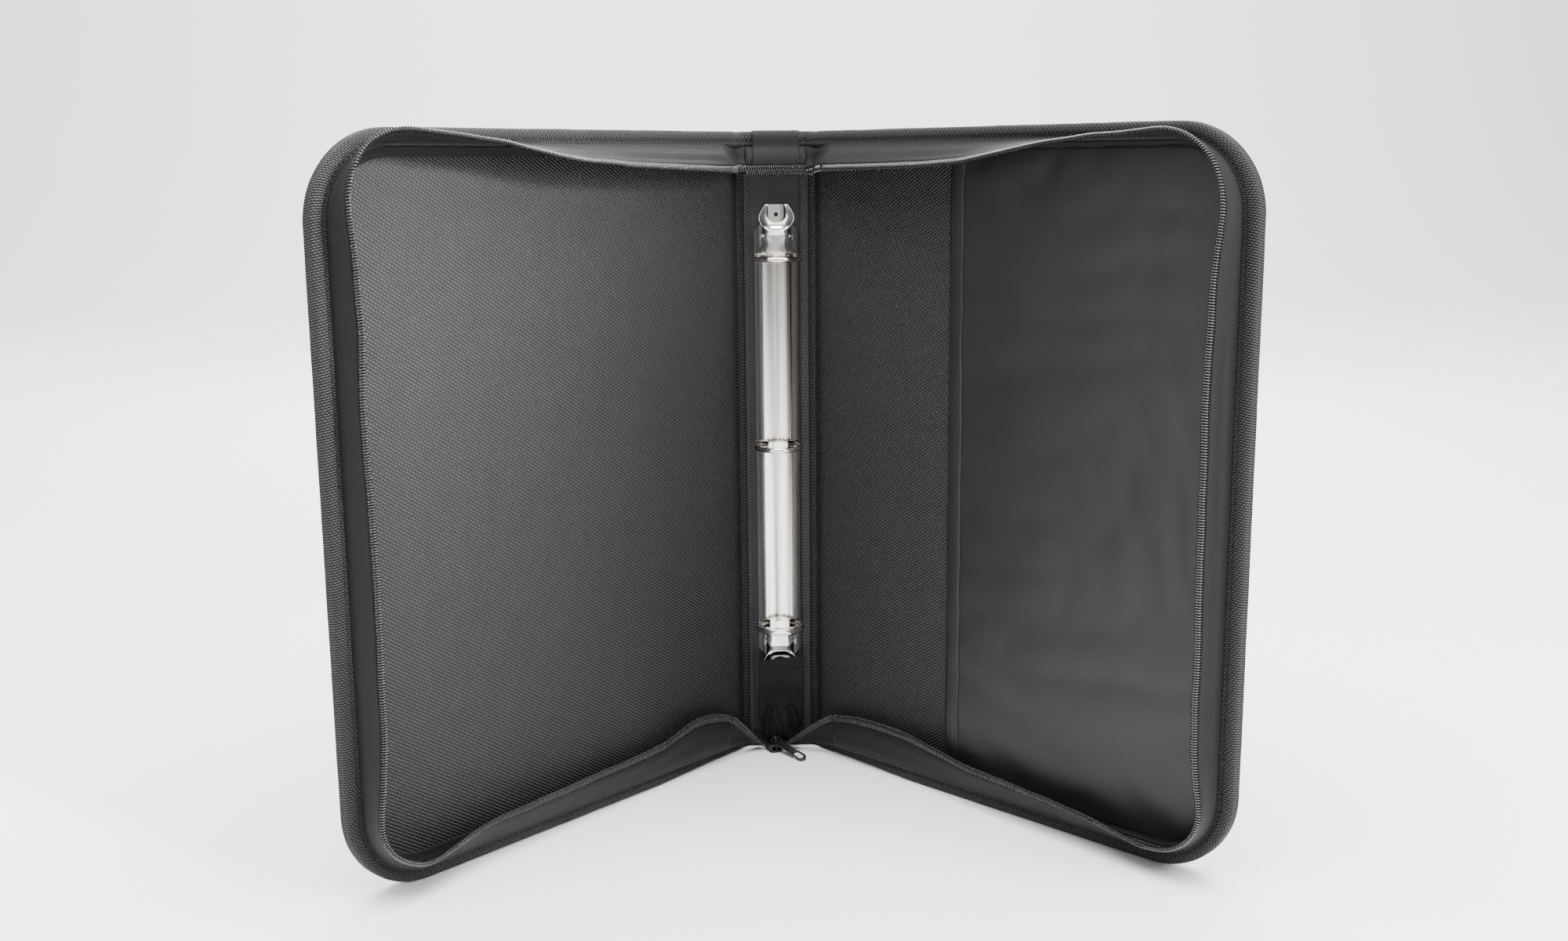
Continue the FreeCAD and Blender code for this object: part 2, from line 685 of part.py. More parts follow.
def make_plate():
    """The arched cover plate: slots for the rings, windows and lugs for the levers, end tongues."""
    length = "2 * plate_half_length"
    low = "mechanism_height - plate_half_length"
    dome = rod("plate_dome", "0", face("plate_crown - arch_radius"), low, "arch_radius", length)
    hollow = rod("plate_hollow", "0", face("plate_crown - arch_radius"), low,
                 "arch_radius - plate_sheet", length)
    keep = box("plate_keep", "-plate_half_width", face("plate_crown"), low,
               "2 * plate_half_width", "plate_crown - plate_lip", length)
    arch = common("plate_arch", cut("plate_shell", dome, hollow), keep)
    lips = [box(f"plate_lip_{side}", x, face("plate_lip"), low, "plate_sheet", "plate_lip", length)
            for side, x in (("left", "-plate_half_width"), ("right", "plate_half_width - plate_sheet"))]
    corner = [box(f"plate_corner_{side}", x, face("plate_lip + plate_sheet"), low,
                  "plate_sheet", "plate_sheet + edge_gap", length)
              for side, x in (("left", "-plate_half_width"), ("right", "plate_half_width - plate_sheet"))]
    rounded = [common(f"plate_corner_{i}_part", block, DOC.getObject("plate_dome"))
               for i, block in enumerate(corner)]
    solids = [arch, *lips, *rounded]
    cuts = []
    for number, step in (("low", "-1"), ("mid", "0"), ("high", "1")):
        for side, x in (("left", "-slot_outer"), ("right", "slot_inner")):
            cuts.append(box(f"slot_{number}_{side}", x, face("plate_crown + cut_past"),
                            f"mechanism_height + {step} * ring_spacing - slot_height / 2",
                            "slot_outer - slot_inner", "plate_crown + cut_past - plate_lip", "slot_height"))
    for end, sign in (("top", "1"), ("bottom", "-1")):
        middle = f"mechanism_height + {sign} * (window_start + plate_half_length + cut_past) / 2"
        cuts.append(box(f"window_{end}", "-window_half", face("plate_crown + cut_past"),
                        f"{middle} - (plate_half_length + cut_past - window_start) / 2",
                        "2 * window_half", "plate_crown + 2 * cut_past",
                        "plate_half_length + cut_past - window_start"))
    for end, sign in (("top", "1"), ("bottom", "-1")):
        for side, x in (("left", "-plate_half_width"), ("right", "plate_half_width")):
            wedge = box(f"shoulder_{end}_{side}", x, face("plate_crown + cut_past"),
                        f"mechanism_height + {sign} * plate_half_length",
                        "shoulder_side", "plate_crown + 2 * cut_past", "shoulder_side")
            wedge.Placement.Rotation = FreeCAD.Rotation(FreeCAD.Vector(0, 1, 0), 45)
            place(wedge, f"{x} - shoulder_cut", face("plate_crown + cut_past"),
                  f"mechanism_height + {sign} * plate_half_length")
            cuts.append(wedge)
    plate = cut("plate_pierced", fuse("plate_whole", *solids), *cuts)
    extras = []
    for end, sign in (("top", "1"), ("bottom", "-1")):
        bridge_low = f"mechanism_height + {sign} * (window_start + tongue_end) / 2"
        extras.append(box(f"tongue_{end}", "-tongue_half", face("plate_sheet"),
                          f"{bridge_low} - (tongue_end - window_start) / 2",
                          "2 * tongue_half", "plate_sheet", "tongue_end - window_start"))
        for side, x in (("left", "-window_half - lug_thick"), ("right", "window_half")):
            lug = box(f"lug_{end}_{side}", x, face("lug_top"),
                      f"mechanism_height + {sign} * lever_pivot - lug_reach",
                      "lug_thick", "lug_top", "2 * lug_reach")
            extras.append(lug)
        extras.append(box(f"cross_{end}", "-window_half - lug_thick", face("plate_sheet"),
                          f"mechanism_height + {sign} * lever_pivot - lug_reach",
                          "2 * (window_half + lug_thick)", "plate_sheet", "2 * lug_reach"))
    drilled = [rod(f"eyelet_hole_{end}", "0", face("plate_sheet + cut_past"),
                   f"mechanism_height + {sign} * eyelet_place", "eyelet_bore + eyelet_wall",
                   "plate_sheet + 2 * cut_past", "Y")
               for end, sign in (("top", "1"), ("bottom", "-1"))]
    drilled += [rod(f"pin_seat_{end}", "-window_half - lug_thick - lever_pin_clearance",
                    face("lever_pivot_rise"), f"mechanism_height + {sign} * lever_pivot",
                    "lever_pin_radius + lever_pin_clearance",
                    "2 * (window_half + lug_thick + lever_pin_clearance)", "X")
                for end, sign in (("top", "1"), ("bottom", "-1"))]
    node("ring_plate", cut("plate_done", fuse("plate_built", plate, *extras), *drilled))


def make_mechanism_trim():
    """The studs at the rings, the eyelets that hold the plate, and the lever pins."""
    studs = []
    for number, step in (("low", "-1"), ("mid", "0"), ("high", "1")):
        studs.append(rod(f"stud_{number}", "0", face("plate_crown + stud_rise"),
                         f"mechanism_height + {step} * ring_spacing", "stud_radius",
                         "stud_rise - edge_gap", "Y"))
    node("plate_studs", DOC.addObject("Part::Compound", "studs_group")).Links = studs
    eyelets, pins = [], []
    for end, sign in (("top", "1"), ("bottom", "-1")):
        height = f"mechanism_height + {sign} * eyelet_place"
        flange = rod(f"eyelet_flange_{end}", "0", face("eyelet_rise"), height, "eyelet_radius",
                     "eyelet_rise - plate_sheet - edge_gap", "Y")
        barrel = rod(f"eyelet_barrel_{end}", "0", face("eyelet_rise"), height,
                     "eyelet_bore + eyelet_wall - edge_gap", "eyelet_rise - edge_gap", "Y")
        bore = rod(f"eyelet_bore_{end}", "0", face("eyelet_rise + cut_past"), height, "eyelet_bore",
                   "eyelet_rise + 2 * cut_past", "Y")
        eyelets.append(cut(f"eyelet_{end}", fuse(f"eyelet_body_{end}", flange, barrel), bore))
        pins.append(rod(f"lever_pin_{end}", "-window_half - lug_thick", face("lever_pivot_rise"),
                        f"mechanism_height + {sign} * lever_pivot", "lever_pin_radius",
                        "2 * (window_half + lug_thick)", "X"))
    node("mounting_eyelets", DOC.addObject("Part::Compound", "eyelets_group")).Links = eyelets
    node("lever_pins", DOC.addObject("Part::Compound", "pins_group")).Links = pins


def make_rings():
    """Two blades under the plate, each with three half rings riveted to it."""
    for side in ("left", "right"):
        x = "-blade_edge" if side == "left" else "blade_gap"
        node(f"{side}_blade", box(
            f"{side}_blade_strip", x, face("blade_lift + blade_thick"),
            "mechanism_height - blade_half_length", "blade_edge - blade_gap", "blade_thick",
            "2 * blade_half_length"))
        for name, step in (("bottom", "-1"), ("middle", "0"), ("top", "1")):
            ring = DOC.addObject("Part::Torus", f"{side}_{name}_torus")
            bind(ring, "Radius1", "ring_radius")
            bind(ring, "Radius2", "ring_wire")
            bind(ring, "Angle3", "ring_sweep * 1 deg")
            start = "270 - ring_tip_angle - ring_sweep" if side == "left" else "ring_tip_angle - 90"
            spin(ring, start)
            place(ring, "0", face("ring_centre"), f"mechanism_height + {step} * ring_spacing")
            node(f"{side}_{name}_ring", ring)


def make_lever(label, end, sign):
    """A lever: a skirt over the plate's end, a neck, and a forked head that stands forward."""

    def up(rule):
        return f"mechanism_height + {sign} * ({rule})"

    profile = DOC.addObject("PartDesign::Body", label + "_profile_body")
    neck_rise = "plate_crown + lever_lift"
    section = polygon(profile, label + "_section", "YZ_Plane", [
        (face(neck_rise), up("lever_skirt")),
        (face(neck_rise), up("lever_neck")),
        (face("lever_tip_rise"), up("lever_tip")),
        (face("lever_tip_rise + lever_sheet"), up("lever_tip - lever_bend_shift")),
        (face(neck_rise + " + lever_sheet"), up("lever_neck - lever_bend_shift")),
        (face(neck_rise + " + lever_sheet"), up("lever_skirt")),
    ])
    pad(profile, label + "_strip", section, "2 * lever_skirt_half", midplane=True)
    plan = DOC.addObject("PartDesign::Body", label + "_plan_body")
    right_side = [
        ("lever_skirt_half", "lever_skirt"),
        ("lever_neck_half", "lever_waist"),
        ("lever_flare_half", "lever_flare"),
        ("lever_head_half", "lever_shoulder"),
        ("lever_head_half", "lever_crest"),
        ("lever_horn_half", "lever_tip + cut_past"),
        ("lever_notch_half", "lever_tip + cut_past"),
        ("lever_notch_half", "lever_notch_side"),
        ("0", "eyelet_place - eyelet_radius - lever_notch_reach"),
    ]
    left_side = [("-" + a if a != "0" else a, b) for a, b in reversed(right_side[:-1])]
    outline = polygon(plan, label + "_outline", "XZ_Plane",
                      [(a, up(b)) for a, b in right_side + left_side],
                      "-(spine_back - wall_depth)")
    pad(plan, label + "_cutter", outline, "2 * lever_tip_rise")
    sheet = common(label + "_sheet", profile, plan)
    ears = []
    for side, x in (("left", "-lever_neck_half"), ("right", "lever_neck_half - lug_thick")):
        ear = box(f"{label}_ear_{side}", x, face(neck_rise + " + lever_sheet / 2"),
                  up("lever_pivot") + " - lug_reach", "lug_thick",
                  "plate_crown + lever_lift + lever_sheet / 2 - ear_base", "2 * lug_reach")
        ears.append(ear)
    bore = rod(label + "_bore", "-window_half", face("lever_pivot_rise"), up("lever_pivot"),
               "lever_pin_radius + lever_pin_clearance", "2 * window_half", "X")
    node(label, cut(label + "_drilled", fuse(label + "_formed", sheet, *ears), bore))


# ---------------------------------------------------------------- end of the zip

def turned(thing, yaw, droop="0"):
    """Stand an object drawn along +X at the slider's place, turned by its yaw and its droop."""
    heading = FreeCAD.Rotation(FreeCAD.Vector(0, 0, 1), measure(yaw) - 90)
    dip = FreeCAD.Rotation(FreeCAD.Vector(0, 1, 0), measure(droop))
    thing.Placement = FreeCAD.Placement(FreeCAD.Vector(), heading.multiply(dip))
    return thing


def make_slider():
    """The slider: two plates with side walls and a wedge, and the bridge that the pull hangs on."""
    half = "slider_long / 2"
    shell = box("slider_block", f"-{half}", "-slider_wide / 2", "slider_base",
                "slider_long", "slider_wide", "slider_tall")
    channel = box("slider_channel", f"-{half} - cut_past", "-slider_wide / 2 + slider_wall",
                  "slider_base + slider_plate", "slider_long + 2 * cut_past", "slider_wide - 2 * slider_wall",
                  "slider_tall - 2 * slider_plate")
    wedge = rod("slider_wedge", f"{half} - wedge_inset", "0", "slider_base + slider_plate - wedge_weld",
                "wedge_radius", "slider_tall - 2 * slider_plate + 2 * wedge_weld")
    body = fuse("slider_shape", cut("slider_tube", shell, channel), wedge)
    node("zip_slider", turned(body, "slider_yaw"))
    place(body, "slider_x", "spine_back - slider_front", "0")
    top = "slider_base + slider_tall"
    beam = box("bridge_beam", "-bridge_span / 2", "-bridge_leg / 2",
               f"{top} + bridge_tall - bridge_leg", "bridge_span", "bridge_leg", "bridge_leg")
    legs = [box(f"bridge_leg_{name}", x, "-bridge_leg / 2", top, "bridge_leg", "bridge_leg", "bridge_tall")
            for name, x in (("rear", "-bridge_span / 2"), ("front", "bridge_span / 2 - bridge_leg"))]
    bridge = turned(fuse("bridge_shape", beam, *legs), "slider_yaw")
    node("slider_bridge", bridge)
    place(bridge, "slider_x", "spine_back - slider_front", "0")


def make_pull():
    """The pull: a flat tongue with a window round the bridge and an oval hole at its free end."""
    body = new_body("pull_tab")
    root = "pull_thick / 2"
    outline = polygon(body, "pull_outline", "XY_Plane", [
        (f"-{root}", "-pull_root_half"),
        ("pull_window_long + pull_shoulder", "-pull_root_half"),
        ("pull_long - pull_end_half", "-pull_end_half"),
        ("pull_long", "-pull_nose_half"),
        ("pull_long", "pull_nose_half"),
        ("pull_long - pull_end_half", "pull_end_half"),
        ("pull_window_long + pull_shoulder", "pull_root_half"),
        (f"-{root}", "pull_root_half"),
    ], "-pull_thick / 2")
    pad(body, "pull_pad", outline, "pull_thick")
    window = polygon(body, "pull_window", "XY_Plane", [
        (root, "-pull_window_half"), ("pull_window_long", "-pull_window_half"),
        ("pull_window_long", "pull_window_half"), (root, "pull_window_half")])
    pocket(body, "pull_window_cut", window)
    end = "pull_long - pull_hole_margin"
    hole = polygon(body, "pull_hole", "XY_Plane", [
        (f"{end} - pull_hole_long", "-pull_hole_end_half"),
        (f"{end} - pull_hole_long + pull_hole_bevel", "-pull_hole_half"),
        (f"{end} - pull_hole_bevel", "-pull_hole_half"),
        (end, "-pull_hole_end_half"),
        (end, "pull_hole_end_half"),
        (f"{end} - pull_hole_bevel", "pull_hole_half"),
        (f"{end} - pull_hole_long + pull_hole_bevel", "pull_hole_half"),
        (f"{end} - pull_hole_long", "pull_hole_end_half"),
    ])
    pocket(body, "pull_hole_cut", hole)
    turned(body, "pull_yaw", "pull_droop")
    place(body, "slider_x", "spine_back - slider_front", "pull_rise")


def make_zip_end():
    """The hemmed tab over the zip's end, and the last stretch of chain behind the slider."""
    low = "slider_base + slider_tall + tab_lift"
    seat = "spine_foot_depth + tab_seat"
    body = side_profile("zip_end_tab", "tab_half", [
        (seat, low),
        (f"{seat} + tab_thick", low),
        ("tab_back_depth + tab_thick", "tab_bend_low"),
        ("tab_front", "tab_bend_high"),
        ("tab_front", "tab_top"),
        ("tab_front - tab_thick", "tab_top"),
        ("tab_front - tab_thick", "tab_bend_high + tab_bend_step"),
        ("tab_back_depth", "tab_bend_low + tab_bend_step"),
    ])
    for side, sign in (("left", "-"), ("right", "")):
        trim = polygon(body, f"tab_trim_{side}", "XZ_Plane", [
            (f"{sign}tab_low_half", "0"),
            (f"{sign}(tab_half + cut_past)", "0"),
            (f"{sign}(tab_half + cut_past)", "tab_trim_high"),
            (f"{sign}tab_low_half", "tab_trim_low"),
        ])
        pocket(body, f"tab_trim_{side}_cut", trim)
    chain = box("tail_bar", "-tail_reach", "-tail_half",
                "slider_base + slider_tall / 2 - tail_thick / 2", "tail_long", "2 * tail_half",
                "tail_thick")
    chain_node = DOC.addObject("Part::Compound", "tail_group")
    chain_node.Links = [chain]
    node("zip_tail_chain", turned(chain_node, "slider_yaw"))
    place(chain_node, "slider_x", "spine_back - slider_front", "0")


def write_parts():
    """Check every object and every sub-part, then write the sub-parts."""
    DOC.recompute()
    for thing in DOC.Objects:
        bad = [word for word in ("Invalid", "Error") if word in thing.State]
        assert not bad, f"{thing.Label} is {thing.State}"
    os.makedirs("parts", exist_ok=True)
    for label, thing in NODES.items():
        shape = thing.Shape
        assert not shape.isNull() and shape.isValid() and shape.Solids, label + " has no valid solid"
        shape.exportStep(f"parts/{label}.step")
        print(label, len(shape.Solids), round(shape.Volume, 1))


def make_case():
    """Build the whole document."""
    write_sheet()
    make_covers()
    make_spine()
    make_plate()
    make_mechanism_trim()
    make_rings()
    make_lever("top_lever", "top", "1")
    make_lever("bottom_lever", "bottom", "-1")
    make_slider()
    make_pull()
    make_zip_end()
    write_parts()


make_case()
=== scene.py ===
"""Looks of the zip portfolio case: woven borders, lining, zip, pocket, ring mechanism and pull."""

import json
import logging
import math
from dataclasses import dataclass, field
from enum import Enum
from functools import cached_property
from typing import Optional, Sequence

import bmesh
import bpy
import numpy as np
from mathutils import Matrix, Vector


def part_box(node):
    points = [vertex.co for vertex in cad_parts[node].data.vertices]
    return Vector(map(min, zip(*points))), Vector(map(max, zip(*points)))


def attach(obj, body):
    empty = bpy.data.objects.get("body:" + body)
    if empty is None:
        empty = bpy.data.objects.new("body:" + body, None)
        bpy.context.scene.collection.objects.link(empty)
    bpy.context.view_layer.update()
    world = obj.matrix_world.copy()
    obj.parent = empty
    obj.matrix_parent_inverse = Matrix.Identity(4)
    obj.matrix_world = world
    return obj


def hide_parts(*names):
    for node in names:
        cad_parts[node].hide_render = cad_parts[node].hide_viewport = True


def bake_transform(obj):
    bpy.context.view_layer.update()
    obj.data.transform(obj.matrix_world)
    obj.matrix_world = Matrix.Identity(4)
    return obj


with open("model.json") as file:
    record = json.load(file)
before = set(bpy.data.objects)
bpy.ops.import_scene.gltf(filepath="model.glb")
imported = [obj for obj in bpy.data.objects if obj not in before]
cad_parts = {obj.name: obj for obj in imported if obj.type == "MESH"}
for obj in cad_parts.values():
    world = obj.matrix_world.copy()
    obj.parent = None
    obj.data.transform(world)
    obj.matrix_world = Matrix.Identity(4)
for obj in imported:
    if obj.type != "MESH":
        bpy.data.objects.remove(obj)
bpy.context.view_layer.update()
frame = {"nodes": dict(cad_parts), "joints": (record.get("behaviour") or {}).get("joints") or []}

LOG = logging.getLogger("portfolio_case")
CLOTH_MAP = "ClothMetres"
MM = 0.001

LEAST_SHEET = 0.0101
Points = np.ndarray


class Side(Enum):
    """Which cover a piece belongs to; the value is the sign of X there."""

    LEFT = -1
    RIGHT = 1

    @property
    def word(self) -> str:
        """The side's name in node names."""
        return self.name.lower()


# ---------------------------------------------------------------- mesh helpers


def joint_value(name: str, key: str) -> list[float]:
    """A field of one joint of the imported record.

    Args:
        name: The joint's name.
        key: The field, such as pos_m or range_deg.

    Returns:
        The field's numbers.
    """
    joint = next(j for j in frame["joints"] if j["name"] == name)
    return list(joint[key])


def make_piece(name: str, points: Points, faces: Sequence[Sequence[int]], material: bpy.types.Material,
               uv: Optional[Points] = None, smooth: bool = True) -> bpy.types.Object:
    """Build a mesh object whose normals point outward.

    Args:
        name: The piece's name.
        points: Vertices, one row each, in metres.
        faces: Vertex indices of each face.
        material: The piece's finish.
        uv: Cloth coordinates in metres, one row for each vertex.
        smooth: Whether the faces are shaded smooth.

    Returns:
        The new object.
    """
    mesh = bpy.data.meshes.new(name)
    mesh.from_pydata(np.asarray(points, float).tolist(), [], [list(f) for f in faces])
    if uv is not None:
        layer = mesh.uv_layers.new(name=CLOTH_MAP)
        corners = np.zeros(len(mesh.loops), np.int32)
        mesh.loops.foreach_get("vertex_index", corners)
        layer.data.foreach_set("uv", np.asarray(uv, np.float32)[corners].ravel())
    work = bmesh.new()
    work.from_mesh(mesh)
    bmesh.ops.recalc_face_normals(work, faces=work.faces)
    work.to_mesh(mesh)
    work.free()
    mesh.polygons.foreach_set("use_smooth", [smooth] * len(mesh.polygons))
    mesh.materials.append(material)
    piece = bpy.data.objects.new(name, mesh)
    bpy.context.scene.collection.objects.link(piece)
    return piece


def grid_normals(grid: Points) -> Points:
    """Unit normals of a grid of points.

    Args:
        grid: Rows by columns by three.

    Returns:
        An array of the same shape.
    """
    down = np.gradient(grid, axis=0)
    along = np.gradient(grid, axis=1)
    normal = np.cross(down, along)
    return normal / np.maximum(np.linalg.norm(normal, axis=2, keepdims=True), 1e-12)


def grid_faces(rows: int, columns: int, start: int = 0, flip: bool = False,
               closed: bool = False) -> list[tuple[int, ...]]:
    """The quads of a grid.

    Args:
        rows: Number of rows of points.
        columns: Number of points in each row.
        start: Index of the first point.
        flip: Whether the faces wind the other way.
        closed: Whether the last column joins the first.

    Returns:
        The quads as index tuples.
    """
    faces = []
    for r in range(rows - 1):
        for c in range(columns if closed else columns - 1):
            d = (c + 1) % columns
            quad = (start + r * columns + c, start + (r + 1) * columns + c,
                    start + (r + 1) * columns + d, start + r * columns + d)
            faces.append(quad[::-1] if flip else quad)
    return faces


def cloth_shell(name: str, grid: Points, uv: Points, thick: float,
                material: bpy.types.Material) -> bpy.types.Object:
    """A thin closed sheet on both sides of a grid of points.

    Args:
        name: The piece's name.
        grid: Rows by columns by three, in metres.
        uv: Rows by columns by two, in metres along the cloth.
        thick: The cloth's thickness.
        material: The piece's finish.

    Returns:
        The new object.
    """
    rows, columns = grid.shape[:2]
    normal = grid_normals(grid)
    front = (grid + normal * thick / 2).reshape(-1, 3)
    back = (grid - normal * thick / 2).reshape(-1, 3)
    count = rows * columns
    faces = grid_faces(rows, columns) + grid_faces(rows, columns, count, flip=True)
    rim = ([(0, c) for c in range(columns)] + [(r, columns - 1) for r in range(1, rows)]
           + [(rows - 1, c) for c in range(columns - 2, -1, -1)] + [(r, 0) for r in range(rows - 2, 0, -1)])
    ids = [r * columns + c for r, c in rim]
    for a, b in zip(ids, ids[1:] + ids[:1]):
        faces.append((a, b, b + count, a + count))
    flat = uv.reshape(-1, 2)
    return make_piece(name, np.vstack([front, back]), faces, material, np.vstack([flat, flat]))


def ring_sweep(name: str, rings: Points, material: bpy.types.Material, uv: Optional[Points] = None,
               capped: bool = True) -> bpy.types.Object:
    """A closed solid through rings of points.

    Args:
        name: The piece's name.
        rings: Rings by points by three, each ring closed.
        material: The piece's finish.
        uv: Rings by points by two, in metres.
        capped: Whether the two ends are closed.

    Returns:
        The new object.
    """
    count, size = rings.shape[:2]
    faces = grid_faces(count, size, closed=True)
    if capped:
        faces.append(tuple(range(size)))
        faces.append(tuple((count - 1) * size + i for i in reversed(range(size))))
    flat = None if uv is None else uv.reshape(-1, 2)
    return make_piece(name, rings.reshape(-1, 3), faces, material, flat)


def tube_along(centres: Points, radius: float, sides: int = 6) -> tuple[Points, list[tuple[int, ...]]]:
    """Points and faces of a round tube along a line.

    Args:
        centres: The line's points.
        radius: The tube's radius.
        sides: Points round the tube.

    Returns:
        The tube's vertices and faces.
    """
    tangent = np.gradient(centres, axis=0)
    tangent /= np.maximum(np.linalg.norm(tangent, axis=1, keepdims=True), 1e-12)
    up = np.tile(np.array([0.0, 0.0, 1.0]), (len(centres), 1))
    steep = np.abs(tangent[:, 2]) > 0.95
    up[steep] = np.array([0.0, 1.0, 0.0])
    side = np.cross(tangent, up)
    side /= np.maximum(np.linalg.norm(side, axis=1, keepdims=True), 1e-12)
    other = np.cross(side, tangent)
    angle = np.linspace(0, 2 * math.pi, sides, endpoint=False)
    ring = (side[:, None] * np.cos(angle)[None, :, None] + other[:, None] * np.sin(angle)[None, :, None])
    points = (centres[:, None] + radius * ring).reshape(-1, 3)
    faces = grid_faces(len(centres), sides, closed=True)
    faces.append(tuple(range(sides)))
    faces.append(tuple((len(centres) - 1) * sides + i for i in reversed(range(sides))))
    return points, faces


def many_tubes(name: str, lines: Sequence[Points], radius: float, material: bpy.types.Material,
               sides: int = 6) -> bpy.types.Object:
    """One piece made of many separate round tubes, such as a row of stitches.

    Args:
        name: The piece's name.
        lines: The line of each tube.
        radius: The tubes' radius.
        material: The piece's finish.
        sides: Points round each tube.

    Returns:
        The new object.
    """
    points, faces, start = [], [], 0
    for line in lines:
        some, quads = tube_along(np.asarray(line, float), radius, sides)
        points.append(some)
        faces.extend(tuple(i + start for i in quad) for quad in quads)
        start += len(some)
    return make_piece(name, np.vstack(points), faces, material)


def flat_plate(name: str, outlines: Sequence[Sequence[tuple[float, float]]], thick: float, bevel: float,
               material: bpy.types.Material, place: Matrix) -> bpy.types.Object:
    """A flat plate with rounded edges from an outer outline and any holes.

    Args:
        name: The piece's name.
        outlines: Closed outlines in the plate's own plane, in metres.
        thick: The plate's whole thickness.
        bevel: How far its edges are rounded.
        material: The piece's finish.
        place: Where the plate lies.

    Returns:
        The new object.
    """
    curve = bpy.data.curves.new(name + "_outline", "CURVE")
    curve.dimensions = "2D"
    curve.fill_mode = "BOTH"
    curve.extrude = thick / 2 - bevel
    curve.bevel_depth = bevel
    curve.bevel_resolution = 2
    curve.offset = -bevel
    for outline in outlines:
        spline = curve.splines.new("POLY")
        spline.points.add(len(outline) - 1)
        for point, (x, y) in zip(spline.points, outline):
            point.co = (x, y, 0, 1)
        spline.use_cyclic_u = True
    holder = bpy.data.objects.new(name + "_curve", curve)
    mesh = bpy.data.meshes.new_from_object(holder)
    bpy.data.objects.remove(holder)
    bpy.data.curves.remove(curve)
    work = bmesh.new()
    work.from_mesh(mesh)
    bmesh.ops.remove_doubles(work, verts=work.verts, dist=1e-6)
    bmesh.ops.recalc_face_normals(work, faces=work.faces)
    work.to_mesh(mesh)
    work.free()
    mesh.transform(place)
    mesh.materials.clear()
    mesh.materials.append(material)
    piece = bpy.data.objects.new(name, mesh)
    bpy.context.scene.collection.objects.link(piece)
    return piece


def oval(long: float, wide: float, centre: tuple[float, float] = (0.0, 0.0),
         steps: int = 28) -> list[tuple[float, float]]:
    """A closed oval with straight sides and round ends.

    Args:
        long: Its length along X.
        wide: Its width along Y.
        centre: Its middle.
        steps: Points round it.

    Returns:
        The outline's points.
    """
    half, radius = max(long - wide, 0.0) / 2, wide / 2
    points = []
    for i in range(steps):
        angle = 2 * math.pi * i / steps
        shift = half if math.cos(angle) >= 0 else -half
        points.append((centre[0] + shift + radius * math.cos(angle), centre[1] + radius * math.sin(angle)))
    return points


def soft_edges(piece: bpy.types.Object, width: float, segments: int = 2) -> bpy.types.Object:
    """Round a piece's sharp edges.

    Args:
        piece: The piece.
        width: How far the edges are rounded.
        segments: Steps in each rounded edge.

    Returns:
        The same piece.
    """
    bevel = piece.modifiers.new("soft_edges", "BEVEL")
    bevel.width = width
    bevel.segments = segments
    bevel.limit_method = "ANGLE"
    bevel.angle_limit = math.radians(35)
    return piece


def finish_piece(piece: bpy.types.Object, body: str, slot: str, *nodes: str) -> bpy.types.Object:
    """Let a piece ride on a body and hide the CAD nodes that it stands for.

    Args:
        piece: The piece, in place.
        body: The body that carries it.
        slot: The record's material slot; not used.
        nodes: The CAD nodes that it replaces.

    Returns:
        The same piece.
    """
    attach(piece, body)
    if nodes:
        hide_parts(*nodes)
    LOG.info("%s rides on %s", piece.name, body)
    return piece


def declare_sheet(piece: bpy.types.Object, wide: float, long: float, held: str, *rests_on: str,
                  area: Optional[float] = None) -> None:
    """Work out a cloth sheet's flat sizes, widening a strip narrower than a centimetre to one; nothing keeps
    the result.

    Args:
        piece: The cloth; not used.
        wide: Its flat width.
        long: Its flat length.
        held: How the cloth is held; not used.
        rests_on: Names of what it lies on or hangs from; not used.
        area: Its flat area where the cut isn't a rectangle; not used.
    """
    least = 10.1 * MM
    narrow, far = min(wide, long), max(wide, long)
    if narrow < least:
        wide, long = least, far


def bend_piece(piece: bpy.types.Object, cover: str) -> bpy.types.Object:
    """Bake a piece's placement into its mesh and log the cover beside it.

    Args:
        piece: The piece, in place.
        cover: The cover's body.

    Returns:
        The same piece.
    """
    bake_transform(piece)
    LOG.info("%s bends between spine and %s", piece.name, cover)
    return piece


# ---------------------------------------------------------------- finishes


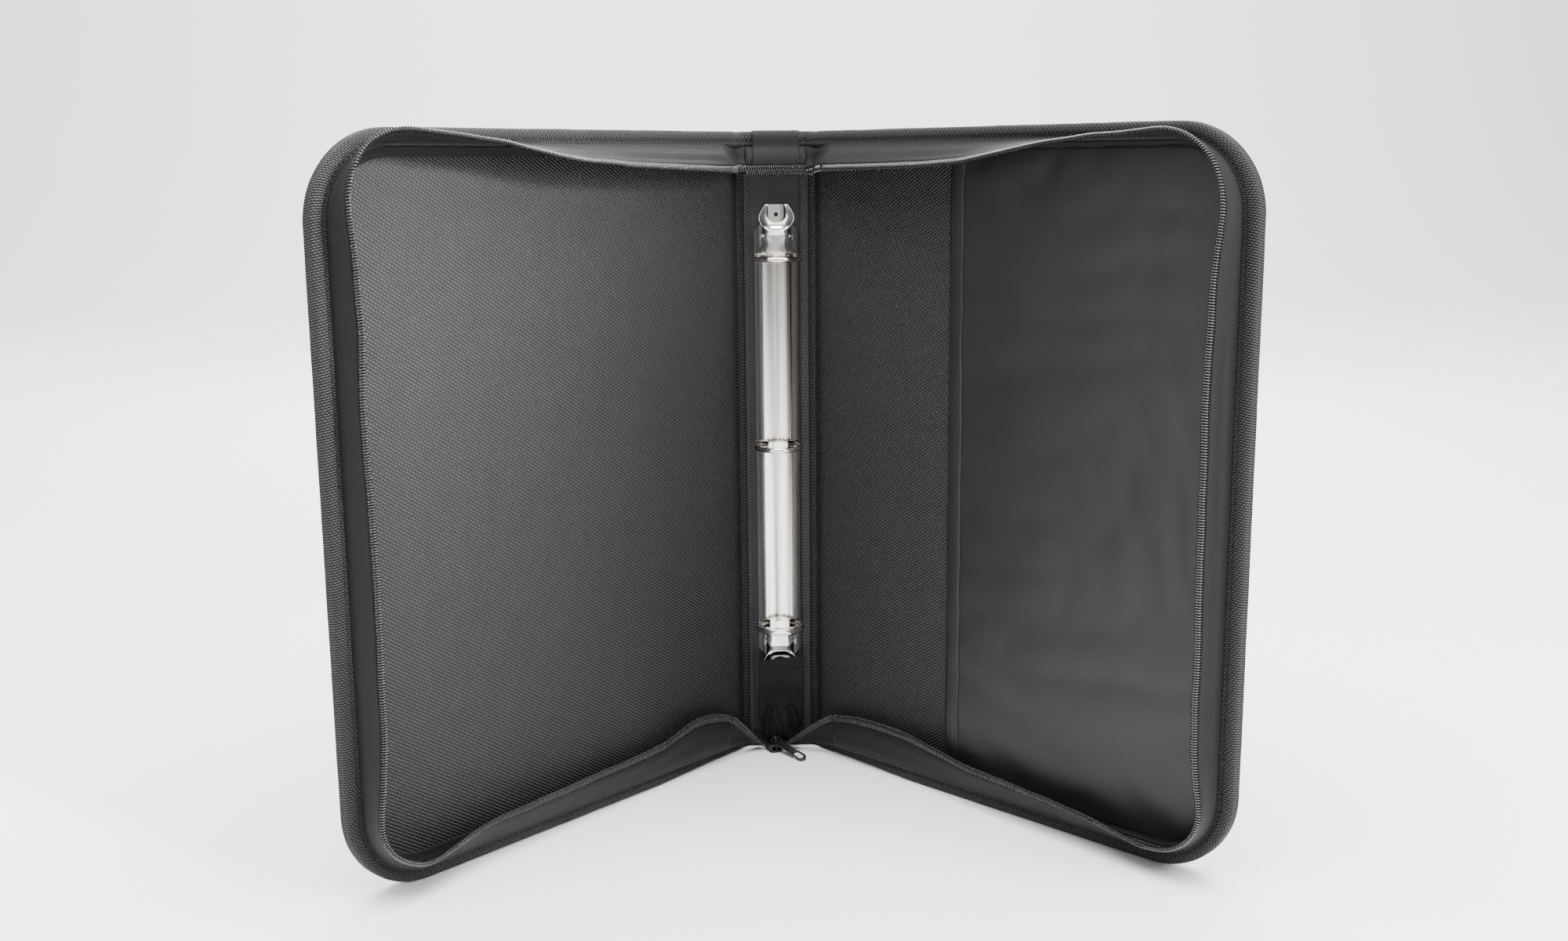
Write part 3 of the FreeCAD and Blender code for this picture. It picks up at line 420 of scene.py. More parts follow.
class Shader:
    """A small builder of node materials."""

    def __init__(self, name: str) -> None:
        """Start a material with its Principled shader."""
        self.material = bpy.data.materials.new(name)
        self.material.use_nodes = True
        self.tree = self.material.node_tree
        self.surface = self.tree.nodes["Principled BSDF"]

    def node(self, kind: str, **settings: object) -> bpy.types.Node:
        """Add a node and set its properties."""
        made = self.tree.nodes.new(kind)
        for key, value in settings.items():
            setattr(made, key, value)
        return made

    def link(self, output: bpy.types.NodeSocket, target: bpy.types.NodeSocket) -> None:
        """Join two sockets."""
        self.tree.links.new(output, target)

    def feed(self, target: bpy.types.NodeSocket, value: object) -> None:
        """Set a socket to a number or join it to another node's output."""
        if isinstance(value, bpy.types.NodeSocket):
            self.link(value, target)
        else:
            target.default_value = value

    def math(self, operation: str, one: object, other: object = 0.0,
             clamp: bool = False) -> bpy.types.NodeSocket:
        """The result of one sum.

        Args:
            operation: Blender's name of the operation.
            one: The first number or output.
            other: The second number or output.
            clamp: Whether the result stays from 0 to 1.

        Returns:
            The result's output.
        """
        made = self.node("ShaderNodeMath", operation=operation, use_clamp=clamp)
        self.feed(made.inputs[0], one)
        self.feed(made.inputs[1], other)
        return made.outputs[0]

    def cloth(self) -> tuple[bpy.types.NodeSocket, bpy.types.NodeSocket]:
        """The two coordinates along the cloth, in metres."""
        where = self.node("ShaderNodeUVMap", uv_map=CLOTH_MAP)
        split = self.node("ShaderNodeSeparateXYZ")
        self.link(where.outputs[0], split.inputs[0])
        return split.outputs[0], split.outputs[1]

    def wave(self, along: object, pitch: float, phase: object = 0.0) -> bpy.types.NodeSocket:
        """A sine from 0 to 1 that repeats every pitch metres."""
        turn = self.math("ADD", self.math("MULTIPLY", along, 2 * math.pi / pitch), phase)
        return self.math("ADD", self.math("MULTIPLY", self.math("SINE", turn), 0.5), 0.5)

    def noise(self, scale: float, detail: float = 3.0, stretch: tuple[float, float, float] = (1, 1, 1),
              roughness: float = 0.55) -> bpy.types.NodeSocket:
        """Noise fixed to the object's own coordinates.

        Args:
            scale: Cells in a metre.
            detail: Octaves of finer noise.
            stretch: Scale along each axis.
            roughness: Strength of the finer noise.

        Returns:
            The noise's value.
        """
        where = self.node("ShaderNodeTexCoord")
        mapping = self.node("ShaderNodeMapping")
        mapping.inputs["Scale"].default_value = stretch
        self.link(where.outputs["Object"], mapping.inputs["Vector"])
        made = self.node("ShaderNodeTexNoise")
        made.inputs["Scale"].default_value = scale
        made.inputs["Detail"].default_value = detail
        made.inputs["Roughness"].default_value = roughness
        self.link(mapping.outputs[0], made.inputs["Vector"])
        return made.outputs[0]

    def ramp(self, value: bpy.types.NodeSocket, low: tuple[float, float, float],
             high: tuple[float, float, float], start: float = 0.0, end: float = 1.0) -> bpy.types.NodeSocket:
        """A colour between two, chosen by a value.

        Args:
            value: The value.
            low: The colour at start and under.
            high: The colour at end and over.
            start: The value where the colour starts to change.
            end: The value where it is wholly high.

        Returns:
            The colour's output.
        """
        made = self.node("ShaderNodeValToRGB")
        made.color_ramp.elements[0].position = start
        made.color_ramp.elements[1].position = end
        made.color_ramp.elements[0].color = (*low, 1)
        made.color_ramp.elements[1].color = (*high, 1)
        self.link(value, made.inputs[0])
        return made.outputs[0]

    def range(self, value: bpy.types.NodeSocket, low: float, high: float) -> bpy.types.NodeSocket:
        """A value from 0 to 1 spread between two numbers."""
        return self.math("ADD", self.math("MULTIPLY", value, high - low), low)

    def bump(self, height: bpy.types.NodeSocket, depth: float, under: Optional[bpy.types.NodeSocket] = None,
             strength: float = 1.0) -> bpy.types.NodeSocket:
        """A relief, in metres, on top of another one."""
        made = self.node("ShaderNodeBump")
        made.inputs["Distance"].default_value = depth
        made.inputs["Strength"].default_value = strength
        self.link(height, made.inputs["Height"])
        if under is not None:
            self.link(under, made.inputs["Normal"])
        return made.outputs[0]

    def done(self, colour: object, roughness: object, normal: Optional[bpy.types.NodeSocket] = None,
             metallic: float = 0.0, specular: float = 0.5, sheen: float = 0.0,
             coat: float = 0.0) -> bpy.types.Material:
        """Set the shader's sockets.

        Args:
            colour: The base colour or its output.
            roughness: The roughness or its output.
            normal: The relief's output.
            metallic: How metallic the surface is.
            specular: Strength of its plain reflection.
            sheen: Strength of its fuzz.
            coat: Strength of a clear coat.

        Returns:
            The material.
        """
        self.feed(self.surface.inputs["Base Color"], colour if isinstance(colour, bpy.types.NodeSocket)
                  else (*colour, 1))
        self.feed(self.surface.inputs["Roughness"], roughness)
        self.surface.inputs["Metallic"].default_value = metallic
        self.surface.inputs["Specular IOR Level"].default_value = specular
        self.surface.inputs["Sheen Weight"].default_value = sheen
        self.surface.inputs["Sheen Roughness"].default_value = 0.4
        self.surface.inputs["Coat Weight"].default_value = coat
        if normal is not None:
            self.link(normal, self.surface.inputs["Normal"])
        return self.material


@dataclass(frozen=True)
class RibbedCloth:
    """Coarse woven cloth of the borders and the outside: ribs that run across it in pairs."""

    name: str = "ribbed_cloth"
    rib: float = 0.00125
    thread: float = 0.0019
    dark: tuple[float, float, float] = (0.0025, 0.0025, 0.003)
    light: tuple[float, float, float] = (0.075, 0.075, 0.079)

    def build(self) -> bpy.types.Material:
        """The material."""
        shader = Shader(self.name)
        along, across = shader.cloth()
        slant = shader.math("ADD", along, shader.math("MULTIPLY", across, 0.22))
        ribs = shader.wave(slant, self.rib)
        rib_number = shader.math("FLOOR", shader.math("DIVIDE", slant, self.rib))
        offset = shader.math("MULTIPLY", rib_number, math.pi)
        crossing = shader.wave(across, self.thread, offset)
        weave = shader.math("MULTIPLY", shader.math("POWER", ribs, 1.5), shader.range(crossing, 0.25, 1.0))
        fibre = shader.noise(5200, 2)
        blotch = shader.noise(35, 3)
        mix = shader.math("MULTIPLY", weave, shader.range(fibre, 0.65, 1.25))
        mix = shader.math("MULTIPLY", mix, shader.range(blotch, 0.75, 1.2), clamp=True)
        relief = shader.bump(fibre, 0.00003, shader.bump(weave, 0.00045))
        return shader.done(shader.ramp(mix, self.dark, self.light), shader.range(weave, 0.95, 0.62),
                           relief, specular=0.25, sheen=0.03)


@dataclass(frozen=True)
class DottedLining:
    """Lining cloth with raised dots in slanting rows."""

    name: str = "dotted_lining"
    pitch: float = 0.0018
    dark: tuple[float, float, float] = (0.0015, 0.0015, 0.002)
    light: tuple[float, float, float] = (0.062, 0.062, 0.070)

    def build(self) -> bpy.types.Material:
        """The material."""
        shader = Shader(self.name)
        along, up = shader.cloth()
        first = shader.math("ADD", shader.math("MULTIPLY", along, 0.93), shader.math("MULTIPLY", up, 0.37))
        second = shader.math("ADD", shader.math("MULTIPLY", along, -0.55), shader.math("MULTIPLY", up, 0.84))
        dots = shader.math("MULTIPLY", shader.range(shader.wave(first, self.pitch), 0.3, 1.0),
                           shader.wave(second, self.pitch * 0.9))
        fibre = shader.noise(4200, 2)
        blotch = shader.noise(18, 3)
        mix = shader.math("MULTIPLY", shader.math("POWER", dots, 2.5), shader.range(fibre, 0.8, 1.15))
        mix = shader.math("MULTIPLY", mix, shader.range(blotch, 0.85, 1.12), clamp=True)
        relief = shader.bump(shader.noise(60, 2), 0.0005, shader.bump(dots, 0.00045))
        return shader.done(shader.ramp(mix, self.dark, self.light), shader.range(dots, 0.75, 0.30),
                           relief, specular=0.42)


@dataclass(frozen=True)
class Twill:
    """Fine twill or, with a repeat, herringbone of the tapes."""

    name: str
    wale: float = 0.0009
    stripe: float = 0.006
    dark: tuple[float, float, float] = (0.0035, 0.0034, 0.0036)
    light: tuple[float, float, float] = (0.012, 0.0115, 0.012)
    shine: float = 0.45

    def build(self) -> bpy.types.Material:
        """The material."""
        shader = Shader(self.name)
        along, across = shader.cloth()
        zigzag = shader.math("PINGPONG", shader.math("ADD", across, 0.5), self.stripe)
        lines = shader.wave(shader.math("ADD", along, zigzag), self.wale)
        fibre = shader.noise(6000, 2)
        blotch = shader.noise(50, 2)
        mix = shader.math("MULTIPLY", lines, shader.range(fibre, 0.7, 1.2))
        mix = shader.math("MULTIPLY", mix, shader.range(blotch, 0.8, 1.15), clamp=True)
        relief = shader.bump(lines, 0.00012)
        return shader.done(shader.ramp(mix, self.dark, self.light),
                           shader.range(lines, self.shine + 0.2, self.shine), relief,
                           specular=0.17, sheen=0.02)


@dataclass(frozen=True)
class SmoothVinyl:
    """Smooth matt vinyl of the pocket, with a faint grain and dust."""

    name: str = "smooth_vinyl"
    dark: tuple[float, float, float] = (0.0065, 0.0065, 0.008)
    light: tuple[float, float, float] = (0.0095, 0.0095, 0.011)

    def build(self) -> bpy.types.Material:
        """The material."""
        shader = Shader(self.name)
        grain = shader.noise(2600, 3)
        cloud = shader.noise(14, 3)
        relief = shader.bump(grain, 0.00004, shader.bump(shader.noise(22, 2), 0.0010))
        return shader.done(shader.ramp(cloud, self.dark, self.light, 0.3, 0.7),
                           shader.range(grain, 0.42, 0.58), relief, specular=0.4)


@dataclass(frozen=True)
class CoilNylon:
    """Moulded nylon of the zip's coil."""

    name: str = "coil_nylon"

    def build(self) -> bpy.types.Material:
        """The material."""
        shader = Shader(self.name)
        tone = shader.noise(90, 2)
        scuff = shader.noise(900, 2)
        return shader.done(shader.ramp(tone, (0.004, 0.004, 0.006), (0.010, 0.010, 0.016)),
                           shader.range(scuff, 0.18, 0.34), shader.bump(scuff, 0.00001), specular=0.9)


@dataclass(frozen=True)
class SewingThread:
    """Twisted polyester thread of the seams."""

    name: str = "sewing_thread"

    def build(self) -> bpy.types.Material:
        """The material."""
        shader = Shader(self.name)
        fuzz = shader.noise(7000, 2)
        return shader.done(shader.ramp(fuzz, (0.006, 0.006, 0.007), (0.024, 0.024, 0.026)), 0.6,
                           shader.bump(fuzz, 0.00004), specular=0.3, sheen=0.05)


@dataclass(frozen=True)
class BrightNickel:
    """Bright nickel plate with smears and scratches in its roughness; its colour carries painted reflections
    as dark and light streaks.
    """

    name: str = "bright_nickel"
    # The stretch shapes the painted reflection streaks; low is their dark end, far darker than nickel itself.
    reflection_streak_stretch: tuple[float, float, float] = (140.0, 90.0, 1.2)
    low: tuple[float, float, float] = (0.10, 0.085, 0.075)

    def build(self) -> bpy.types.Material:
        """The material."""
        shader = Shader(self.name)
        smear = shader.noise(40, 3)
        reflection_streaks = shader.noise(1.0, 3, self.reflection_streak_stretch)
        scratch = shader.noise(1.0, 3, (2200.0, 1400.0, 40.0))
        rough = shader.math("ADD", shader.range(smear, 0.06, 0.18), shader.range(scratch, 0.0, 0.05))
        relief = shader.bump(reflection_streaks, 0.00004)
        # Painted reflection: the streak noise darkens and lightens the metal's colour, and the same noise
        # gives a faint bump.
        colour = shader.ramp(reflection_streaks, self.low, (0.90, 0.86, 0.82), 0.36, 0.58)
        return shader.done(colour, rough, relief, metallic=1.0)


@dataclass(frozen=True)
class BlackEnamel:
    """Black enamel on the slider and its pull, worn a little at random."""

    name: str = "black_enamel"

    def build(self) -> bpy.types.Material:
        """The material."""
        shader = Shader(self.name)
        wear = shader.noise(420, 4)
        return shader.done(shader.ramp(wear, (0.003, 0.003, 0.0035), (0.014, 0.014, 0.015), 0.35, 0.8),
                           shader.range(wear, 0.28, 0.48), shader.bump(wear, 0.00003), specular=0.4)


@dataclass(frozen=True)
class GreyBoard:
    """Grey stiffening board inside the walls."""

    name: str = "grey_board"

    def build(self) -> bpy.types.Material:
        """The material."""
        shader = Shader(self.name)
        pulp = shader.noise(1400, 4)
        return shader.done(shader.ramp(pulp, (0.10, 0.09, 0.08), (0.19, 0.18, 0.16)), 0.9,
                           shader.bump(pulp, 0.00006), specular=0.2)


class Finishes:
    """Every material of the case."""

    def __init__(self) -> None:
        """Build the materials once."""
        self.border = RibbedCloth().build()
        self.lining = DottedLining().build()
        self.tape = Twill("zip_tape_herringbone", wale=0.0008, stripe=0.0040).build()
        self.seam = Twill("seam_twill", wale=0.0019, stripe=0.0035, dark=(0.002, 0.002, 0.0025),
                          light=(0.050, 0.050, 0.054)).build()
        self.spine = Twill("spine_twill", wale=0.0013, stripe=1.0, light=(0.050, 0.050, 0.055)).build()
        self.ribbon = Twill("binding_ribbon", wale=0.0007, stripe=1.0, dark=(0.0035, 0.0032, 0.0036),
                            light=(0.0100, 0.0092, 0.0102)).build()
        self.vinyl = SmoothVinyl().build()
        self.coil = CoilNylon().build()
        self.thread = SewingThread().build()
        # Both nickels paint reflections into their colour: long streaks on the plate and blades, milder
        # blotches on the polished parts.
        self.nickel = BrightNickel().build()
        self.polished = BrightNickel("polished_nickel", (60.0, 60.0, 60.0), (0.45, 0.42, 0.39)).build()
        self.enamel = BlackEnamel().build()
        self.board = GreyBoard().build()


# ---------------------------------------------------------------- shared sizes


@dataclass
class Walls:
    """Sizes of the case's walls, read from the frame where it holds them."""

    hinge: float = field(default_factory=lambda: joint_value("right_cover_hinge", "pos_m")[0])
    back: float = field(default_factory=lambda: joint_value("right_cover_hinge", "pos_m")[1])
    angle: float = field(default_factory=lambda: math.radians(
        joint_value("right_cover_hinge", "range_deg")[1]))
    height: float = field(default_factory=lambda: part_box("right_border")[1].z)
    border_width: float = field(default_factory=lambda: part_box("spine_outer_skin")[0].z - 0.05 * MM)
    depth: float = 4.0 * MM
    border_depth: float = 10.5 * MM
    corner: float = 44.0 * MM

    @cached_property
    def width(self) -> float:
        """Distance from a hinge to the outer edge of its cover."""
        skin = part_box("right_outer_skin")[1].x
        return (skin - self.hinge) / math.cos(self.angle) + self.border_width + 0.05 * MM

    def on_cover(self, side: Side, run: Points, height: Points, depth: Points) -> Points:
        """Points of a cover in the row frame.

        Args:
            side: The cover.
            run: Distances from the hinge.
            height: Heights above the floor.
            depth: Distances inward from the outer face.

        Returns:
            The points, with a last axis of three.
        """
        run, height, depth = np.broadcast_arrays(np.asarray(run, float), height, depth)
        x = self.hinge + run * math.cos(self.angle) - depth * math.sin(self.angle)
        y = self.back - run * math.sin(self.angle) - depth * math.cos(self.angle)
        return np.stack([side.value * x, y, height], axis=-1)

    def on_spine(self, x: Points, height: Points, depth: Points) -> Points:
        """Points of the spine, at a distance inward from its outer face."""
        x, height, depth = np.broadcast_arrays(np.asarray(x, float), height, depth)
        return np.stack([x, self.back - depth, height], axis=-1)


def ease(share: Points) -> Points:
    """A smooth step from 0 to 1."""
    share = np.clip(share, 0, 1)
    return share * share * (3 - 2 * share)


def ripple(distance: Points, seed: int, size: float, longest: float = 0.09) -> Points:
    """A gentle uneven wave along a length of cloth.

    Args:
        distance: Places along the cloth.
        seed: Which wave.
        size: Its greatest height.
        longest: Its longest wave.

    Returns:
        The wave's height at each place.
    """
    chance = np.random.default_rng(seed)
    total = np.zeros_like(np.asarray(distance, float))
    for step in range(4):
        length = longest / (1.6 ** step) * chance.uniform(0.8, 1.2)
        total = total + np.sin(2 * math.pi * distance / length + chance.uniform(0, 6.28)) / (1.5 ** step)
    return size * total / 2.5


# ---------------------------------------------------------------- edge of a cover


@dataclass
class EdgePath:
    """The way round a cover's three free sides, at an inset from its edge."""

    walls: Walls
    inset: float
    start: float
    end: float

    @cached_property
    def lengths(self) -> list[float]:
        """Lengths of the top, upper corner, side, lower corner and bottom."""
        walls = self.walls
        straight = walls.width - walls.corner
        turn = (walls.corner - self.inset) * math.pi / 2
        return [straight - self.start, turn, walls.height - 2 * walls.corner, turn, straight - self.end]

    @cached_property
    def total(self) -> float:
        """Length of the whole way."""
        return sum(self.lengths)

    def at(self, distance: float) -> tuple[float, float, float, float]:
        """One place on the way.

        Args:
            distance: How far along.

        Returns:
            Run, height and the outward direction's two parts.
        """
        walls = self.walls
        straight, radius = walls.width - walls.corner, walls.corner - self.inset
        top, upper, side, lower, _ = self.lengths
        if distance <= top:
            return self.start + distance, walls.height - self.inset, 0.0, 1.0
        distance -= top
        if distance <= upper:
            turn = distance / radius
            out = math.sin(turn), math.cos(turn)
            return straight + radius * out[0], walls.height - walls.corner + radius * out[1], *out
        distance -= upper
        if distance <= side:
            return walls.width - self.inset, walls.height - walls.corner - distance, 1.0, 0.0
        distance -= side
        if distance <= lower:
            turn = distance / radius
            out = math.cos(turn), -math.sin(turn)
            return straight + radius * out[0], walls.corner + radius * out[1], *out
        distance -= lower
        return straight - distance, self.inset, 0.0, -1.0

    def stations(self, spacing: float) -> tuple[Points, Points]:
        """Evenly spaced places.

        Args:
            spacing: About how far apart.

        Returns:
            The distances, and the places as rows of run, height and outward direction.
        """
        count = max(2, int(round(self.total / spacing)) + 1)
        distances = np.linspace(0, self.total, count)
        return distances, np.array([self.at(d) for d in distances])


# Lean of each zip tape towards the middle of its cover, in degrees, at distances in
# millimetres along its seam from the spine's top end, as the loosely held tape hangs.
# The rows follow what a separate measuring script printed, and weren't chosen by hand.
LEFT_LEAN = ((26, 55), (87, 45), (142, 28), (182, 5), (217, -11), (258, -25), (272, -17), (297, 7),
             (345, 11), (372, 5), (440, 12), (533, 12), (578, -8), (611, 23), (658, 58), (734, 72),
             (811, 84), (832, 88), (849, 80))
RIGHT_LEAN = ((26, 53), (105, 46), (143, 27), (177, 8), (208, -3), (262, -13), (286, -3), (325, 15),
              (389, 20), (468, 17), (552, 15), (584, -5), (608, 16), (656, 45), (720, 60), (790, 84),
              (832, 88), (849, 82))

# How high the tape is drawn up, against its flat height, at distances in millimetres from the
# spine along each cover's lower edge, where the zip is loose. The rows follow heights that a
# separate measuring script printed.
LEFT_REACH = ((26, 1.08), (32, 1.22), (38, 1.31), (45, 1.39), (55, 1.40), (65, 1.29), (80, 1.05), (96, 1.0))
RIGHT_REACH = ((26, 1.06), (38, 1.15), (45, 1.19), (55, 1.22), (65, 1.24), (80, 1.22), (100, 1.11),
               (125, 1.0))


@dataclass
class ZipHalf:
    """One half of the zip: a woven tape sewn inside the border, with the coil along its edge."""

    walls: Walls
    side: Side
    looks: Finishes
    seam_inset: float = 7.0 * MM
    lift: float = 10.9 * MM
    start: float = 26.0 * MM
    tape_width: float = 15.4 * MM
    tape_thick: float = 0.7 * MM
    coil_middle: float = 17.2 * MM
    coil_wide: float = 3.9 * MM
    coil_tall: float = 1.9 * MM
    coil_pitch: float = 1.3 * MM
    coil_wire: float = 0.33 * MM
    curl: float = 1.1 * MM

    @cached_property
    def path(self) -> EdgePath:
        """The tape's seam."""
        return EdgePath(self.walls, self.seam_inset, self.start, self.start)

    @cached_property
    def lean_curve(self) -> tuple[Points, Points]:
        """Distances along the seam and the smoothed lean, in radians, at each."""
        table = LEFT_LEAN if self.side is Side.LEFT else RIGHT_LEAN
        places = np.array([row[0] for row in table], float) * MM - self.start
        angles = np.radians([row[1] for row in table])
        fine = np.linspace(-0.05, self.path.total + 0.05, 900)
        raw = np.interp(fine, places, angles)
        width = 0.018
        kernel = np.exp(-0.5 * (np.arange(-60, 61) * (fine[1] - fine[0]) / (width / 2)) ** 2)
        padded = np.pad(raw, 60, mode="edge")
        smooth = np.convolve(padded, kernel / kernel.sum(), mode="valid")
        return fine, smooth

    def lean(self, distances: Points) -> Points:
        """The tape's lean in radians at distances along its seam."""
        return np.interp(distances, *self.lean_curve) + ripple(distances, 11 + self.side.value, 0.03)

    def reach(self, distances: Points) -> Points:
        """How far the loose tape is drawn up near the spine's lower end, as a share of its height."""
        table = LEFT_REACH if self.side is Side.LEFT else RIGHT_REACH
        places = np.array([row[0] for row in table], float) * MM
        return np.interp(self.path.total - distances + self.start, places, [row[1] for row in table])

    def spots(self, distances: Points, up: Points, side: Points) -> Points:
        """Points of the tape.

        Args:
            distances: Places along the seam.
            up: Distances up the tape from its seam.
            side: Distances off the tape's face, outward.

        Returns:
            The points in the row frame.
        """
        distances = np.asarray(distances, float)
        places = np.array([self.path.at(d) for d in distances.ravel()]).reshape(*distances.shape, 4)
        lean = self.lean(distances)
        up = up * self.reach(distances)
        bow = self.curl * np.sin(math.pi * np.clip(up / self.coil_middle, 0, 1)) * np.sin(lean)
        off = side + bow
        outward = -up * np.sin(lean) + off * np.cos(lean)
        depth = self.lift + up * np.cos(lean) + off * np.sin(lean)
        return self.walls.on_cover(self.side, places[..., 0] + outward * places[..., 2],
                                   places[..., 1] + outward * places[..., 3], depth)

    def build(self) -> None:
        """Make the tape, its coil and the two rows of stitches that hold the coil."""
        word = self.side.word
        distances = np.linspace(0, self.path.total, 440)
        rise = np.linspace(0, self.tape_width, 11)
        along, up = np.meshgrid(distances, rise, indexing="ij")
        tape = cloth_shell(f"{word}_tape", self.spots(along, up, np.zeros_like(up)),
                           np.stack([along, up], axis=-1), self.tape_thick, self.looks.tape)
        finish_piece(tape, f"{word}_cover", "zip_tape", f"{word}_zip_tape")
        declare_sheet(tape, self.path.total, self.tape_width, "stretched", f"{word}_edge_roll")
        self.build_coil()
        stitches = []
        for row in (self.tape_width - 1.0 * MM, self.tape_width - 3.2 * MM):
            for place in np.arange(1.0 * MM, self.path.total - 2.5 * MM, 2.6 * MM):
                ends = np.array([place, place + 0.85 * MM, place + 1.7 * MM])
                lift = np.array([0.15, 0.48, 0.15]) * -MM
                stitches.append(self.spots(ends, np.full(3, row), lift))
        sewn = many_tubes(f"{word}_coil_stitches", stitches, 0.16 * MM, self.looks.thread, 5)
        finish_piece(sewn, f"{word}_cover", "zip_tape")

    def coil_turns(self, distances: Points) -> tuple[Points, Points]:
        """Where a wound coil lies beside its centre line, as distances up and off the tape."""
        turn = 2 * math.pi * distances / self.coil_pitch
        up = self.coil_middle + self.coil_wide / 2 * np.cos(turn)
        head = 1 + 0.25 * np.clip(np.cos(turn), 0, 1)
        return up, self.coil_tall / 2 * head * np.sin(turn)

    def build_coil(self) -> None:
        """Wind the coil along the tape's edge."""
        count = int(self.path.total / self.coil_pitch * 11)
        distances = np.linspace(0.5 * MM, self.path.total - 0.5 * MM, count)
        up, off = self.coil_turns(distances)
        points, faces = tube_along(self.spots(distances, up, off), self.coil_wire, 6)
        coil = make_piece(f"{self.side.word}_coil", points, faces, self.looks.coil)
        finish_piece(coil, f"{self.side.word}_cover", "zip_coil", f"{self.side.word}_zip_coil")
        core = np.linspace(0.5 * MM, self.path.total - 0.5 * MM, 430)
        line = self.spots(core, np.full_like(core, self.coil_middle), np.zeros_like(core))
        points, faces = tube_along(line, 0.55 * MM, 8)
        cord = make_piece(f"{self.side.word}_coil_core", points, faces, self.looks.tape)
        finish_piece(cord, f"{self.side.word}_cover", "zip_coil")


@dataclass
class CoverEdge:
    """The padded, bound roll round a cover, with its seams."""

    walls: Walls
    side: Side
    looks: Finishes
    start: float = 7.4 * MM
    front_round: float = 3.2 * MM
    back_round: float = 3.6 * MM
    seam_dip: float = 0.7 * MM
    stitch_step: float = 3.4 * MM
    stitch_long: float = 2.3 * MM

    def section(self, low: float, high: float) -> list[tuple[float, float]]:
        """The roll's section as insets and depths, from its inner back edge round to its front.

        Args:
            low: Inset of the inner side.
            high: Depth of the front.

        Returns:
            The section's corners.
        """
        points = [(low, 0.0), ((low + self.back_round) / 2, 0.0)]
        for step in range(6):
            turn = math.pi / 2 * step / 5
            points.append((self.back_round * (1 - math.sin(turn)), self.back_round * (1 - math.cos(turn))))
        middle = (self.back_round + high - self.front_round) / 2
        points.append((self.seam_dip * 0.35, middle))
        for step in range(6):
            turn = math.pi / 2 * step / 5
            points.append((self.front_round * (1 - math.cos(turn)),
                           high - self.front_round * (1 - math.sin(turn))))
        seam = 5.4 * MM
        points += [(seam - 1.0 * MM, high + 0.25 * MM), (seam, high - self.seam_dip),
                   (seam + 0.8 * MM, high + 0.1 * MM), (low - 0.9 * MM, high - 0.1 * MM),
                   (low, high - 1.0 * MM)]
        points.append((low, high / 2))
        return points

    def high_at(self, distance: float, total: float) -> float:
        """Depth of the roll's front: it thins towards the hinge at the bottom."""
        left = total - distance
        thin, full = 5.6 * MM, self.walls.border_depth
        return thin + (full - thin) * float(ease(np.array((left - 12 * MM) / (70 * MM))))

    def build(self) -> None:
        """Make the roll and its stitches."""
        word, walls = self.side.word, self.walls
        path = EdgePath(walls, 0.0, self.start + 4.0 * MM, self.start)
        distances, places = path.stations(2.2 * MM)
        rings, uvs = [], []
        for distance, place in zip(distances, places):
            section = self.section(walls.border_width, self.high_at(distance, path.total))
            inset = np.array([p[0] for p in section])
            depth = np.array([p[1] for p in section])
            swell = ripple(np.array(distance), 5, 0.12 * MM, 0.06)
            near = np.clip(inset / walls.border_width, 0, 1)
            inset = inset + swell * (1 - near)
            rings.append(walls.on_cover(self.side, place[0] - inset * place[2],
                                        place[1] - inset * place[3], depth))
            steps = np.hypot(np.diff(inset, prepend=inset[-1]), np.diff(depth, prepend=depth[-1]))
            steps[0] = 0.0
            uvs.append(np.stack([np.full(len(section), distance), np.cumsum(steps)], axis=-1))
        roll = ring_sweep(f"{word}_edge_roll", np.array(rings), self.looks.border, np.array(uvs))
        finish_piece(roll, f"{word}_cover", "outer_fabric", f"{word}_border", f"{word}_border_hinge_end")
        self.build_stitches(path)

    def build_stitches(self, path: EdgePath) -> None:
        """Sew the seam along the roll's front."""
        lines = []
        for place in np.arange(3 * MM, path.total - 4 * MM, self.stitch_step):
            some = [self.seam_point(path, place + step * self.stitch_long, lift * MM)
                    for step, lift in ((0.0, -0.55), (0.2, -0.2), (0.8, -0.2), (1.0, -0.55))]
            lines.append(np.array(some))
        sewn = many_tubes(f"{self.side.word}_edge_stitches", lines, 0.24 * MM, self.looks.thread, 6)
        finish_piece(sewn, f"{self.side.word}_cover", "outer_fabric")

    def seam_point(self, path: EdgePath, distance: float, lift: float) -> Points:
        """A point along the seam's groove."""
        run, height, out_run, out_height = path.at(distance)
        inset = 5.4 * MM
        depth = self.high_at(distance, path.total) + lift + 0.1 * MM
        return self.walls.on_cover(self.side, run - inset * out_run, height - inset * out_height, depth)


# ---------------------------------------------------------------- panels


@dataclass
class PanelShape:
    """The outline of a cover's panel: straight at the hinge, rounded at its two outer corners."""

    walls: Walls
    side: Side
    start: float
    inset: float
    across: int = 66
    up: int = 84

    def grid(self) -> tuple[Points, Points]:
        """Runs and heights of a grid that fills the outline, denser rows where its corners turn."""
        walls = self.walls
        far = walls.width - self.inset
        radius = walls.corner - self.inset
        low, high = self.inset, walls.height - self.inset
        share = np.linspace(0, 1, self.across)
        run = self.start + (far - self.start) * (1 - (1 - share) ** 1.25)
        over = np.clip((run - (far - radius)) / radius, 0, 1)
        cut = radius * (1 - np.sqrt(np.clip(1 - over ** 2, 0, 1)))
        rise = np.linspace(0, 1, self.up)
        heights = low + cut[:, None] + (high - low - 2 * cut[:, None]) * rise[None, :]
        return np.repeat(run[:, None], self.up, axis=1), heights

    @property
    def area(self) -> float:
        """Its flat area."""
        far = self.walls.width - self.inset
        radius = self.walls.corner - self.inset
        whole = (far - self.start) * (self.walls.height - 2 * self.inset)
        return whole - 2 * radius ** 2 * (1 - math.pi / 4)


